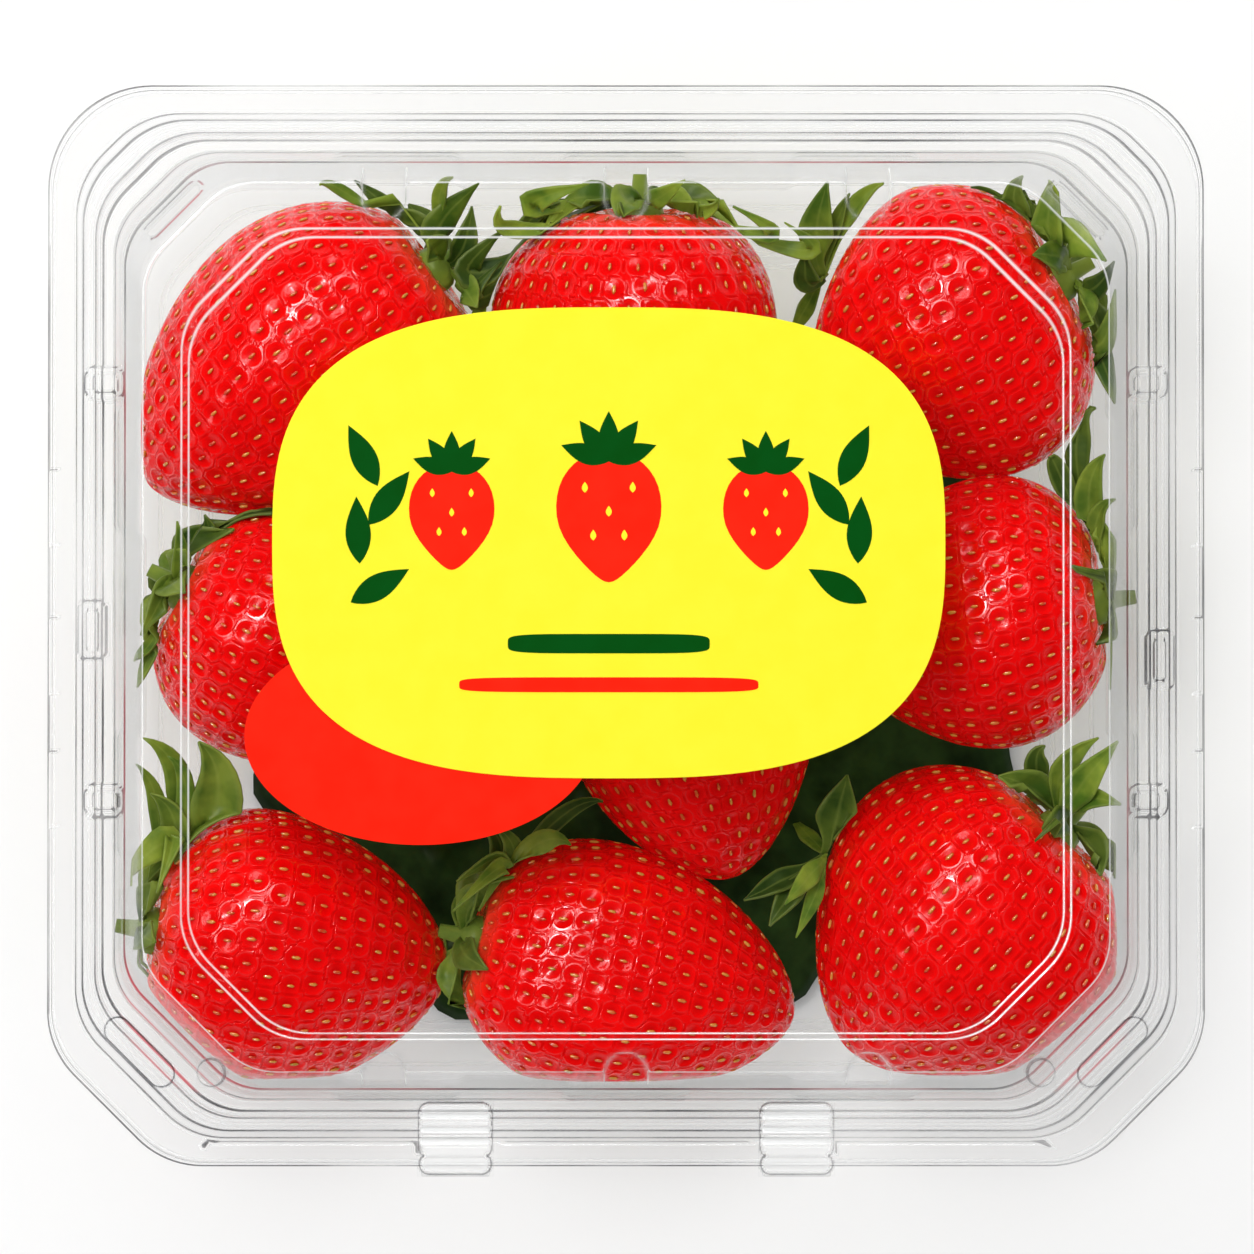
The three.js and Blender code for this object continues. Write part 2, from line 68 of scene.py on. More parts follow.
def mm(**sizes):
    """Named sizes given in millimetres, in metres."""
    return {name: value * MM for name, value in sizes.items()}


# Outline of the pack at three insets from the rim's edge
RIM = {
    **mm(inset=0, front=72.3, cut_back=8.2, cut_front=15.8, round_back=14, round_front=12.4),
    "x": HALF_WIDTH,
    "back": BACK_EDGE,
}
WALL = mm(inset=10.5, x=67.6, back=63.2, front=61.8, cut_back=10.5, cut_front=15, round_back=9, round_front=9)
PANEL = mm(
    inset=18.8, x=59.4, back=53.4, front=54.9, cut_back=12.5, cut_front=12.5, round_back=10, round_front=10
)

# Mesh steps round an outline's corners and along its sides
ARC_STEPS = 10
CUT_STEPS = 14
FILL_STEPS = 12
FILLET_POINTS = 7
CORNER_TANGENT = math.tan(math.pi / 8)
SIDE_REACH = 36.2 * MM
END_REACH = 41.5 * MM
KNOTS = mm(coarse=3.2, fine=0.42, margin=1.1)

# Level of the lid's flange above the parting plane, and how far the tray's floor is raised
LID_FLANGE = 0.8 * MM
FLOOR_RAISE = 1.7 * MM

# Film profiles: inset, height above the parting plane, how far the wall's panels sink in, and how
# strong a line each bend shows: a dark one (+) of painted shade or a bright one (-) of painted highlight
TRAY_PROFILE = np.array([
    (0.3, -3.2, 0, 0.7), (0.5, 0, 0, 0.6), (4.6, 0, 0, 0), (5.4, 1.5, 0, 0.55), (6.0, 1.5, 0, 0),
    (6.7, 0, 0, 0.6), (9.1, 0, 0, 0.75), (9.5, -2, 0, 0), (9.8, -4, -0.7, 0.6), (11.4, -31.5, -0.7, 0.65),
    (13.4, -34.5, 0, 0.55), (19, -34.5, 0, 0.55), (20.5, -33.3, 0, 0.55), (24, -33.3, 0, 0),
]) * MM
LID_PROFILE = np.array([
    (0, 0.8, 0, 1), (3.9, 0.8, 0, 0.8), (4.8, 2.6, 0, 0.9), (6.6, 2.6, 0, 0.8), (7.4, 0.8, 0, 1),
    (10.5, 0.8, 0, 1), (12.9, 13.3, 0, 0), (13.5, 14.0, 0, -0.9), (18.8, 14.0, 0, -1), (19.7, 13.2, 0, -1),
    (23, 13.2, 0, 0),
]) * MM

# Rounding of the bends, how far a painted line reaches, and the mesh's steps near the bends and between them
FILLET = 0.3 * MM
LINE_REACH = 0.5 * MM
LID_STEPS = np.array((-0.5, -0.3, -0.17, -0.08, 0, 0.08, 0.17, 0.3, 0.5)) * MM
TRAY_STEPS = np.array((-0.5, -0.2, -0.08, 0, 0.08, 0.2, 0.5)) * MM
BACK_STEPS = np.array((-0.3, 0, 0.3)) * MM
LID_COARSE = 0.65 * MM
TRAY_COARSE = 1.8 * MM
BACK_COARSE = 1.5 * MM
LEAST_STEP = 0.05 * MM

# Where the film's dark lines are painted red in patches, as a painted reflection of the fruit behind them
RED_REFLECTION_AREA = mm(x=0, y=0.7, width=137, depth=127, radius=12, edge=1.5)

# Panels that stand out of the tray's wall, and the vent slots in its floor
SIDE_PANELS = np.array((-22, 22)) * MM
END_PANELS = np.array((-31, 0, 31)) * MM
PANEL_HALF = 9 * MM
PANEL_RAMP = 1.6 * MM
PANEL_END = 0.6 * MM
FLOOR_VENT = mm(length=14, width=2.6, low=-2, past=1)
FLOOR_VENT_X = np.array((-33, 0, 33)) * MM
FLOOR_VENT_Y = np.array((-24, 24)) * MM

# Snap buttons and bars along the lid's sides, with the studs that they close over
BUTTON = mm(width=5.9, depth=5.2, radius=2.0, top=3.4)
BUTTON_X = HALF_WIDTH - 7.75 * MM
BUTTON_Y = np.array((33.3, -23)) * MM
SNAP_BAR = mm(width=4.3, depth=8.4, radius=1.2, top=3.2)
BAR_X = HALF_WIDTH - 6.05 * MM
BAR_Y = {-1: 0, 1: -4 * MM}
STUD = mm(trim=2.3, radius=0.8, edge=0.4, top=2.1)

# Flutes in the lid's wall and vents through its corners
FLUTE_X = np.array((-32.5, 0, 32.5)) * MM
FLUTE = mm(radius=3.5, length=14, edge=1.1, floor=5)
FLUTE_TIPS = {1: 54.4 * MM, -1: 56.2 * MM}
VENT_SLOT = mm(x=60.9, y=56.4, length=9.5, width=1.8, low=3, high=11)
# Size of the painted shade line round each corner vent
VENT_LINE = mm(longer=1.6, wider=1.8, radius=1.6, edge=0.9)

# Raised bars along the side edges, with gaps, and ribs along the front (their spans in millimetres)
EDGE_BARS = mm(inset=1.0, width=1.1, rise=0.55, edge=0.35, reach=52)
EDGE_GAPS = np.array((16.5, -3.5, -21.5)) * MM
EDGE_GAP = mm(half=4.9, edge=0.5)
GAP_END = 0.3 * MM
FRONT_RIBS = mm(inset=2.6, width=1.3, rise=0.9, edge=0.4, end=0.8)
RIB_SPANS = ((-56.5, -28.8), (-16.6, 16.6), (28.8, 56.5))

# Latches and the trim of the front corners, which lie on the flange
FLANGE_SKIN = 0.02 * MM
LATCH_X = np.array((-23, 23)) * MM
LATCH = mm(width=10.4, back=-63.4, front=-71.4, top=3.6, round=1.6, edge=0.6)
LATCH_STEPS = (44, 56)
FOOT = {**mm(back=-70.2, top=2.6, round=1.7, edge=0.7), "front": FOOT_FRONT}
TONGUE = mm(width=9.2, thick=1.1, drop=6.5, round=2.2, bevel=0.5)
LATCH_GROOVES = np.array((-65.6, -67.4, -69.0)) * MM
GROOVE = mm(half=0.25, edge=0.4, depth=0.5)

# Sizes of each trim, its turn and its mesh's steps
CORNER_TRIM = {
    "pad": (mm(x=65.6, y=-56.9, length=12.4, width=4.2, top=2, edge=0.6), math.pi / 4, (60, 24)),
    "nub": (mm(x=55.8, y=-59.6, length=4.4, width=4.4, top=8, edge=0.7), 0.0, (26, 26)),
}

# Berries as in the solids, in millimetres: calyx and tip in plan, greatest width
BERRIES = (
    ((-25, 50.5), (-66, 21), 39.5),
    ((1.9, 59), (1.9, 15), 40),
    ((60.5, 49), (26.5, 31), 41),
    ((-62, 7), (-27.5, -11), 34.5),
    ((66, 4.5), (27, 0), 38),
    ((4, 4.5), (14.5, -33.5), 34),
    ((-66, -40.5), (-24.5, -46.5), 38.5),
    ((-22, -41.5), (23, -52.5), 35.5),
    ((60, -26), (30.5, -57), 43.5),
)

# A berry's form, and the walls that it is pressed against
BERRY_HALF_HEIGHT = 20 * MM
SHOULDER_SHIFT = 0.74
FULLNESS = 0.56
TIP_HEIGHT = 0.36
WALL_LEAN = 0.06
LID_LEAN = 0.21
BERRY_CUT = mm(back=10, front=14.5)

# A berry's mesh, its seeds and the pit round each
BERRY_RINGS = 126
BERRY_SIDES = 172
SEED_SPACING = 3.75 * MM
ROW_SHARE = 0.87
CRATER_DEPTH = 0.3 * MM
RIM_HEIGHT = 0.05 * MM
SEED = mm(length=1.25, width=0.54, thick=0.46)
SEED_SIDES = 5
SEED_RINGS = ((-0.34, 0.72), (0.22, 0.94))
SEED_JITTER = 0.05

# Leaves, the room that they lie in, stalks and the bed of leaves that is left near-black as painted shade
# between the berries
LEAF_THICK = 0.3 * MM
LEAF_ROOM = mm(x=67.2, back=62.4, front=61, cut_back=11, cut_front=15, low=0.4, top=11)
STALK_SIDES = 10
STALK_RINGS = ((-1.4, 3.4), (0.4, 3.1), (1.3, 2.2), (1.8, 1.2), (4.6, 0.95))
SHADED_BED = mm(width=114, depth=100, height=9, y=-5, bump=0.8, gap=0.3, skin=0.05)

# Leaves that show on each berry, in millimetres: base and tip in plan, width, and lit share, the painted
# light and shade from near-black to lit green (lit leaves also stand higher)
LEAVES = {
    0: (
        ((-37, 59), (-41.5, 60.5), 1.8, 0.8), ((-31, 56.5), (-37, 61.5), 3, 0.2),
        ((-26, 54.5), (-20, 61), 4.8, 0.4), ((-25.5, 58.5), (-23.5, 61.5), 2.2, 0.8),
        ((-22.5, 52), (-21, 58), 3.8, 0.2),
    ),
    1: (
        ((-14, 54.5), (-17, 57.5), 2.6, 0.9), ((-20, 49), (-16.5, 55), 5.2, 0.15),
        ((-12.5, 58), (-5, 60.5), 4.2, 0.9), ((-12.5, 55.5), (-9, 58.5), 3.2, 0.2),
        ((3.5, 58.5), (8, 61), 3.2, 0.95), ((9.5, 57), (12.5, 58.5), 2.2, 0.9),
        ((19, 54), (14.5, 57.5), 2.6, 0.85), ((23.5, 52), (21.5, 55.5), 2.8, 0.6),
        ((-19, 46), (-17, 50.5), 3.8, 0.1),
    ),
    2: (
        ((53.5, 57), (54, 62), 3.8, 0.35), ((57.5, 53.5), (58.5, 62.5), 4.8, 0.8),
        ((59.5, 53.5), (65, 50), 6, 0.95), ((63, 46.5), (66.5, 50.5), 3.8, 0.2),
        ((64, 39), (66.5, 46.5), 3.8, 0.45), ((64, 39.5), (66.5, 31), 3.8, 0.3),
        ((52, 57.5), (47, 60.5), 2.4, 0.3),
    ),
    3: (
        ((-57, 11), (-57.5, 16), 3.6, 0.25), ((-60.5, 8), (-61, 15), 3.2, 0.6),
        ((-55, 13), (-49.5, 17), 3.6, 0.15), ((-52.5, 12.5), (-47.5, 15), 3.2, 0.1),
        ((-62.5, 6), (-66, -0.5), 4.2, 0.45), ((-64.5, -1), (-68, -4), 1.8, 0.6),
        ((-64.5, -2), (-66.5, -7.5), 2.2, 0.5),
    ),
    4: (
        ((61.5, 24), (64, 30.5), 4.2, 0.25), ((60, 19.5), (57.5, 24), 3.2, 0.2),
        ((63, 17), (65, 24), 4.2, 0.6), ((64, 14), (66.5, 18), 2.8, 0.5),
    ),
    6: (
        ((-60.5, -23), (-65.5, -14.5), 4.2, 0.6), ((-60, -24.5), (-62, -17), 2.8, 0.8),
        ((-56, -25), (-58, -15), 7.4, 0.55), ((-63.5, -26), (-66.5, -18), 2.8, 0.5),
        ((-61, -28.5), (-64.5, -22), 4.8, 0.5), ((-62, -29), (-69, -34.5), 5.2, 0.75),
        ((-61.5, -28.5), (-63.5, -35.5), 2.8, 0.75),
    ),
    7: (
        ((-13.5, -30), (-7.5, -29), 3.8, 0.7), ((-17, -31.5), (-23, -34), 3.2, 0.45),
        ((-16.5, -32), (-23.5, -38), 2.8, 0.7), ((-17, -32.5), (-20, -38), 2.2, 0.5),
        ((-11, -27), (-3, -23), 2.8, 0.15), ((-15.5, -32), (-18, -26.5), 3.8, 0.3),
        ((-17, -31), (-21, -25), 4.2, 0.15),
    ),
    8: (
        ((61, -22), (66.5, -15), 4.8, 0.9), ((59, -19.5), (64, -14.5), 3.6, 0.7),
        ((62, -23), (67, -23.5), 3.6, 0.7), ((56, -19), (57, -15.5), 3.6, 0.2),
    ),
}

# Sprigs of leaves between the berries, in millimetres: root, then each leaf as above
SPRIGS = (
    ((27.5, -30.5, 23), (
        ((28.5, -26), (30, -19.5), 6.2, 0.3), ((25.5, -32.5), (21.5, -37), 3.2, 0.8),
        ((26, -35), (23, -41.5), 2.4, 0.7), ((22, -33.5), (16, -36.5), 3.6, 0.1),
        ((23, -35), (19.5, -40), 3.6, 0.15),
    )),
    ((27, 49, 16), (
        ((26, 54), (27.5, 61.5), 5.2, 0.55), ((28.5, 55), (30.5, 60), 2.4, 0.35),
        ((31, 57.5), (35, 61), 2.8, 0.85), ((25, 48), (24.5, 52.5), 4.2, 0.12),
    )),
)

# A leaf's mesh, and the small leaves round each calyx
LEAF_STATIONS = 17
LEAF_COLUMNS = 7
SEPALS = 7

# The red sticker's full size, and its faces below the yellow one's foot
RED_SIZE = np.array((47, 29)) * MM
RED_FACES = np.array((0.03, 0.01)) * MM

# Printed motifs in millimetres from the yellow sticker's middle: each berry's x and size, its seeds
# as shares of that size, each bar's length, width and y, and a leaf's length and width
INK = 0.05 * MM
PRINT_BERRIES = ((-21, 13), (0, 16), (21, 13))
PRINT_BERRY_Y = 3.5
PRINT_SEEDS = ((-0.2, 0.2), (0.2, 0.2), (0, 0), (-0.13, -0.2), (0.13, -0.2))
PRINT_BARS = ((27, 2.6, -13.5), (40, 2.0, -19))
PRINT_LEAF = (9, 3.4)

# The photo's scale at the parting plane, its side in pixels, the camera and the ground
PX_PER_M = 7400
PHOTO_SIDE = 1254
CAMERA_DISTANCE = 1.25
CAMERA_ELEVATION = math.radians(88.6)
CAMERA_TARGET = (0.135 * MM, 1.31 * MM, 0)
SENSOR = 36.0
FLOOR_HALF = 3.0

randoms = np.random.default_rng(2026)


# Meshes

def new_object(name, vertices, faces, material, smooth=True):
    """A mesh object at the origin with one material."""
    mesh = bpy.data.meshes.new(name)
    mesh.from_pydata([tuple(v) for v in vertices], [], [tuple(f) for f in faces])
    mesh.update()
    mesh.materials.append(material)
    if smooth:
        mesh.polygons.foreach_set("use_smooth", [True] * len(mesh.polygons))
    item = bpy.data.objects.new(name, mesh)
    bpy.context.scene.collection.objects.link(item)
    return item


def ring_faces(rings, count):
    """Quads between neighbouring rings of equal count, as lists of vertex numbers."""
    start = np.arange(rings - 1)[:, None] * count
    here = np.arange(count)[None, :]
    ahead = (here + 1) % count
    quads = np.stack([start + here, start + count + here, start + count + ahead, start + ahead], axis=-1)
    return quads.reshape(-1, 4).tolist()


def loft(rings, ends=None):
    """Vertices and faces of a body through rings (n, m, 3), closed by a middle or given point at each end."""
    count = rings.shape[1]
    last = rings.shape[0] * count
    if ends is None:
        ends = (rings[0].mean(axis=0), rings[-1].mean(axis=0))
    vertices = np.concatenate([rings.reshape(-1, 3), ends])
    faces = ring_faces(rings.shape[0], count)
    faces += [(last, i, (i + 1) % count) for i in range(count)]
    end = last - count
    faces += [(last + 1, end + (i + 1) % count, end + i) for i in range(count)]
    return vertices, faces


def join(parts):
    """Several (vertices, faces) pairs as one."""
    vertices = []
    faces = []
    total = 0
    for part_vertices, part_faces in parts:
        vertices.append(part_vertices)
        faces += [tuple(i + total for i in face) for face in part_faces]
        total += len(part_vertices)
    return np.concatenate(vertices), faces


def smoothstep(low, high, value):
    """0 below low, 1 above high, and a soft step between."""
    share = np.clip((value - low) / (high - low), 0, 1)
    return share * share * (3 - 2 * share)


def unit(vectors):
    """The vectors at length 1."""
    return vectors / np.maximum(np.linalg.norm(vectors, axis=-1, keepdims=True), 1e-12)


def circle(count):
    """Even angles round a full turn."""
    return np.arange(count) / count * 2 * math.pi


def bezier(start, bend, end, count):
    """Points of a simple curve that is pulled towards its bend."""
    shares = np.linspace(0, 1, count)[:, None]
    return start * (1 - shares) ** 2 + bend * 2 * shares * (1 - shares) + end * shares**2


def at_height(plan, height):
    """Plan points (n, 2) at one height, or at one height each."""
    return np.column_stack([plan, np.full(len(plan), height)])


def turned(outline, angle, at):
    """A plan outline turned and moved."""
    cosine, sine = math.cos(angle), math.sin(angle)
    return outline @ np.array(((cosine, sine), (-sine, cosine))) + at


# Film

def outline_at(inset):
    """The outline's sizes at any inset."""
    low, high = (RIM, WALL) if inset <= WALL["inset"] else (WALL, PANEL)
    share = (inset - low["inset"]) / (high["inset"] - low["inset"])
    return {key: low[key] + (high[key] - low[key]) * share for key in RIM}


def knots(features, reach):
    """Places along a straight side, close together where a feature (middle, half width) stands."""
    places = set(np.arange(-reach, reach, KNOTS["coarse"]).round(6))
    for middle, half in features:
        span = half + KNOTS["margin"]
        places = {p for p in places if abs(p - middle) > span}
        places |= set(np.arange(middle - span, middle + span, KNOTS["fine"]).round(6))
    return np.array(sorted(p for p in places if -reach <= p <= reach))


def straight_points(start, end, places, sink, panels):
    """The points of one straight side between two corners, with its sunk panels."""
    along = unit(end - start)
    inward = np.array((-along[1], along[0]))
    axis = int(abs(along[1]) > 0.5)
    low, high = sorted((start[axis], end[axis]))
    squeeze = min(1, 0.98 * high / places[-1], 0.98 * low / places[0])
    middle = places * squeeze
    before = low + (middle[0] - low) * np.arange(1, FILL_STEPS) / FILL_STEPS
    after = middle[-1] + (high - middle[-1]) * np.arange(1, FILL_STEPS) / FILL_STEPS
    inside = np.concatenate([before, middle, after])[::int(np.sign(along[axis]))]
    points = np.repeat(start[None, :], len(inside), axis=0)
    points[:, axis] = inside
    for panel in panels:
        mask = 1 - smoothstep(PANEL_HALF - PANEL_RAMP, PANEL_HALF, np.abs(inside - panel))
        points += inward * (sink * mask)[:, None]
    return points


def outline_corners(inset):
    """Place, radius and the kind of side that follows, for each of the eight corners at an inset."""
    shape = outline_at(inset)
    x, back, front = shape["x"], shape["back"], shape["front"]
    cut_back, cut_front = shape["cut_back"], shape["cut_front"]
    near, far = shape["round_front"], shape["round_back"]
    return (
        ((x, cut_front - front), near, "side"), ((x, back - cut_back), far, None),
        ((x - cut_back, back), far, "end"), ((cut_back - x, back), far, None),
        ((-x, back - cut_back), far, "side"), ((-x, cut_front - front), near, None),
        ((cut_front - x, -front), near, "end"), ((x - cut_front, -front), near, None),
    )


def outline_points(inset, sink, side_places, end_places):
    """A closed anticlockwise outline at an inset."""
    corners = outline_corners(inset)
    spots = [np.array(at) for at, _, _ in corners]
    points = []
    for i, (_, radius, kind) in enumerate(corners):
        before = unit(spots[i] - spots[i - 1])
        reach = radius * CORNER_TANGENT
        centre = spots[i] - before * reach + np.array((-before[1], before[0])) * radius
        first = math.atan2(-before[0], before[1])
        angles = first + np.linspace(0, math.pi / 4, ARC_STEPS + 1)
        points.append(centre + radius * np.stack([np.cos(angles), np.sin(angles)], axis=1))
        following = (i + 1) % len(corners)
        after = unit(spots[following] - spots[i])
        start = spots[i] + after * reach
        end = spots[following] - after * corners[following][1] * CORNER_TANGENT
        if kind == "side":
            points.append(straight_points(start, end, side_places, sink, SIDE_PANELS))
        elif kind == "end":
            points.append(straight_points(start, end, end_places, sink, END_PANELS))
        else:
            shares = np.arange(1, CUT_STEPS) / CUT_STEPS
            points.append(start + (end - start) * shares[:, None])
    return np.concatenate(points)


def rounded(profile):
    """The profile as a fine polyline with rounded bends, its length along, and the place of each bend."""
    points = [profile[0, :3]]
    bends = [0]
    for before, here, after in zip(profile[:-2], profile[1:-1], profile[2:]):
        cuts = []
        for other in (before, after):
            length = np.linalg.norm(other[:2] - here[:2])
            cuts.append((here + (other - here) * min(FILLET / length, 0.45))[:3])
        bends.append(len(points) + FILLET_POINTS // 2)
        points += list(bezier(cuts[0], here[:3], cuts[1], FILLET_POINTS))
    points.append(profile[-1, :3])
    points = np.array(points)
    length = np.concatenate([[0], np.cumsum(np.linalg.norm(np.diff(points[:, :2], axis=0), axis=1))])
    return points, length, length[bends]


def stations_of(profile, near, coarse):
    """Rows of (inset, height, sink, line) along a rounded profile, close together at its bends; the line is
    the painted shade (+) or painted highlight (-) of the bends near it.
    """
    points, length, bends = rounded(profile)
    places = [place + step for place in bends for step in near]
    for low, high in zip(bends, [*bends[1:], length[-1]]):
        count = max(1, round((high - low - 2 * near[-1]) / coarse))
        places += list(np.linspace(low + near[-1], high - near[-1], count + 1)[1:-1])
    places = sorted(place for place in places if 0 <= place < length[-1] - near[-1] / 4)
    kept = [places[0]]
    for place in places[1:]:
        if place - kept[-1] > LEAST_STEP:
            kept.append(place)
    kept = np.array([*kept, length[-1]])
    strengths = np.array([0 if k == len(bends) else profile[k, 3] / MM for k in range(len(bends))])
    reach = np.clip(1 - np.abs(kept[:, None] - bends[None, :]) / LINE_REACH, 0, 1) * strengths[None, :]
    line = np.take_along_axis(reach, np.abs(reach).argmax(axis=1)[:, None], axis=1)
    return np.column_stack([*(np.interp(kept, length, points[:, k]) for k in range(3)), line])


def back_of(profile):
    """The film's other face, without lines."""
    steps = np.diff(profile[:, :2], axis=0)
    normals = unit(np.stack([-steps[:, 1], steps[:, 0]], axis=1))
    at_points = unit(np.concatenate([normals[:1], normals[:-1] + normals[1:], [[0.0, 2.0]]]))
    moved = profile.copy()
    moved[:, :2] -= at_points * FILM
    moved[:, 0] = np.maximum(moved[:, 0], 0)
    moved[:, 3] = 0
    return moved


def film_shell(name, profile, steps, features, lift, material):
    """A formed sheet: rings along the profile on both faces, shaped by lift(points, line, face), with the
    painted lines on its upper face only.
    """
    near, coarse = steps
    side_places = knots(features[0], SIDE_REACH)
    end_places = knots(features[1], END_REACH)
    upper = stations_of(profile, near, coarse)[::-1]
    under = back_of(stations_of(profile, BACK_STEPS, BACK_COARSE))
    rings = []
    lines = []
    for stations, face in ((upper, True), (under, False)):
        for inset, height, sink, bend in stations:
            points = at_height(outline_points(inset, sink, side_places, end_places), height)
            points[:, 2], line = lift(points, np.full(len(points), bend), face)
            points[:, 2] += PARTING
            rings.append(points)
            lines.append(line * face)
    vertices, faces = loft(np.array(rings))
    item = new_object(name, vertices, faces, material)
    # Painted shade (+) and painted highlight (-) lines, read by the film's finish
    set_attribute(item, "line", np.concatenate([*lines, [0.0, 0.0]]))
    # Where the painted shade lines take a painted red reflection of the fruit
    set_attribute(item, "near_fruit", box_mask(vertices, **RED_REFLECTION_AREA))
    return item


def set_attribute(item, name, values):
    """A number for each vertex, read by the materials."""
    layer = item.data.attributes.new(name, "FLOAT", "POINT")
    layer.data.foreach_set("value", np.asarray(values, dtype=np.float32))


def set_vectors(item, name, values):
    """A vector for each vertex, read by the materials."""
    layer = item.data.attributes.new(name, "FLOAT_VECTOR", "POINT")
    layer.data.foreach_set("vector", np.asarray(values, dtype=np.float32).reshape(-1))


def box_mask(points, x, y, width, depth, radius, turn=0.0, edge=0.6 * MM):
    """1 inside a rounded box seen in plan, 0 outside, with a soft edge."""
    px, py = points[:, 0] - x, points[:, 1] - y
    cosine, sine = math.cos(turn), math.sin(turn)
    across, along = px * cosine + py * sine, -px * sine + py * cosine
    dx = np.abs(across) - (width / 2 - radius)
    dy = np.abs(along) - (depth / 2 - radius)
    outside = np.hypot(np.maximum(dx, 0), np.maximum(dy, 0)) + np.minimum(np.maximum(dx, dy), 0) - radius
    return 1 - smoothstep(-edge, 0, outside)


def edge_line(mask):
    """A painted line along the soft edge of a mask: painted shade where positive, painted highlight where
    negative.
    """
    return 4 * mask * (1 - mask)


def stronger(first, second):
    """The line value that is further from 0."""
    return np.where(np.abs(first) > np.abs(second), first, second)


def raise_to(z, line, mask, top):
    """Heights lifted towards a top where the mask is 1, with a painted shade line round it."""
    lower = z < top
    return np.where(lower, z + (top - z) * mask, z), np.where(lower, stronger(line, edge_line(mask)), line)


def button_spots():
    """Middle and sizes of each snap button and bar."""
    spots = []
    for side in (-1, 1):
        spots += [(side * BUTTON_X, y, BUTTON) for y in BUTTON_Y]
        spots.append((side * BAR_X, BAR_Y[side], SNAP_BAR))
    return spots


def button_features():
    """Where the snap buttons and bars stand along the sides: middle and half width."""
    buttons = [(y, BUTTON["depth"] / 2) for y in BUTTON_Y]
    return buttons + [(y, SNAP_BAR["depth"] / 2) for y in BAR_Y.values()]


def ends_of(middles, half, reach):
    """Where both ends of some features stand: middle and half width."""
    return [(middle + way * half, reach) for middle in middles for way in (-1, 1)]


def band(value, half, edge):
    """1 within half of 0, falling to 0 over an edge."""
    return 1 - smoothstep(half, half + edge, np.abs(value))


def rim_bars(points, z, line):
    """The short raised bars along the two side edges, with gaps, and the ribs along the front, with painted
    shade lines round them.
    """
    bar, rib = EDGE_BARS, FRONT_RIBS
    side_inset = HALF_WIDTH - np.abs(points[:, 0])
    gaps = np.max([band(points[:, 1] - y, **EDGE_GAP) for y in EDGE_GAPS], axis=0)
    bars = band(side_inset - bar["inset"], bar["width"] / 2, bar["edge"]) * (1 - gaps)
    bars = np.where(np.abs(points[:, 1]) < bar["reach"], bars, 0)
    front_inset = RIM["front"] + points[:, 1]
    spans = [
        band(points[:, 0] - (low + high) / 2 * MM, (high - low) / 2 * MM, rib["end"])
        for low, high in RIB_SPANS
    ]
    ribs = band(front_inset - rib["inset"], rib["width"] / 2, rib["edge"]) * np.max(spans, axis=0)
    z = z + bars * bar["rise"] + ribs * rib["rise"]
    return z, stronger(stronger(line, 0.8 * edge_line(bars)), edge_line(ribs))


def lid_lift(points, line, face):
    """Heights and painted lines of the lid's film with its buttons, flutes and ribs: painted shade round the
    buttons, bars, ribs and vents, painted highlights round the flutes.
    """
    drop = 0 if face else FILM
    z, line = rim_bars(points, points[:, 2], line)
    for x, y, size in button_spots():
        mask = box_mask(points, x, y, size["width"], size["depth"], size["radius"])
        z, line = raise_to(z, line, mask, size["top"] - drop)
    floor = FLUTE["floor"] - drop
    radius, length = FLUTE["radius"], FLUTE["length"]
    vent = VENT_SLOT
    for side in (-1, 1):
        for x in FLUTE_X:
            middle = side * (FLUTE_TIPS[side] + length / 2)
            mask = box_mask(points, x, middle, 2 * radius, length, radius, edge=FLUTE["edge"])
            line = np.where(z > floor, stronger(line * (1 - mask), -0.9 * edge_line(mask)), line)
            z = np.where(z > floor, z + (floor - z) * mask, z)
        slot = box_mask(
            points, side * vent["x"], vent["y"], vent["length"] + VENT_LINE["longer"],
            vent["width"] + VENT_LINE["wider"], VENT_LINE["radius"], -side * math.pi / 4, VENT_LINE["edge"]
        )
        line = stronger(line, 0.9 * edge_line(slot))
    return z, line


def tray_lift(points, line, face):
    """Heights and painted lines of the tray's film with the studs that the lid's buttons close over, with a
    painted shade line round each stud.
    """
    drop = 0 if face else FILM
    z = points[:, 2]
    for x, y, size in button_spots():
        width, depth = size["width"] - STUD["trim"], size["depth"] - STUD["trim"]
        mask = box_mask(points, x, y, width, depth, STUD["radius"], edge=STUD["edge"])
        z, line = raise_to(z, line, mask, STUD["top"] - drop)
    return z, line


def cut_slots(item, places, slot, low, high):
    """Cuts an upright slot at each place (x, y, turn) through a shell."""
    parts = []
    ends = np.linspace(-math.pi / 2, math.pi / 2, 7)
    half = (slot["length"] - slot["width"]) / 2
    right = np.stack([half + np.cos(ends) * slot["width"] / 2, np.sin(ends) * slot["width"] / 2], axis=1)
    outline = np.concatenate([right, -right])
    for x, y, turn in places:
        plan = turned(outline, turn, (x, y))
        parts.append(loft(np.stack([at_height(plan, z) for z in (high, low)])))
    cutter = new_object("slot_cutter", *join(parts), item.data.materials[0], smooth=False)
    modifier = item.modifiers.new("slots", "BOOLEAN")
    modifier.operation = "DIFFERENCE"
    modifier.solver = "EXACT"
    modifier.object = cutter
    bake_modifiers(item)
    bpy.data.objects.remove(cutter)


def bake_modifiers(item):
    """Applies an object's modifiers to its mesh."""
    graph = bpy.context.evaluated_depsgraph_get()
    mesh = bpy.data.meshes.new_from_object(item.evaluated_get(graph))
    item.modifiers.clear()
    item.data = mesh


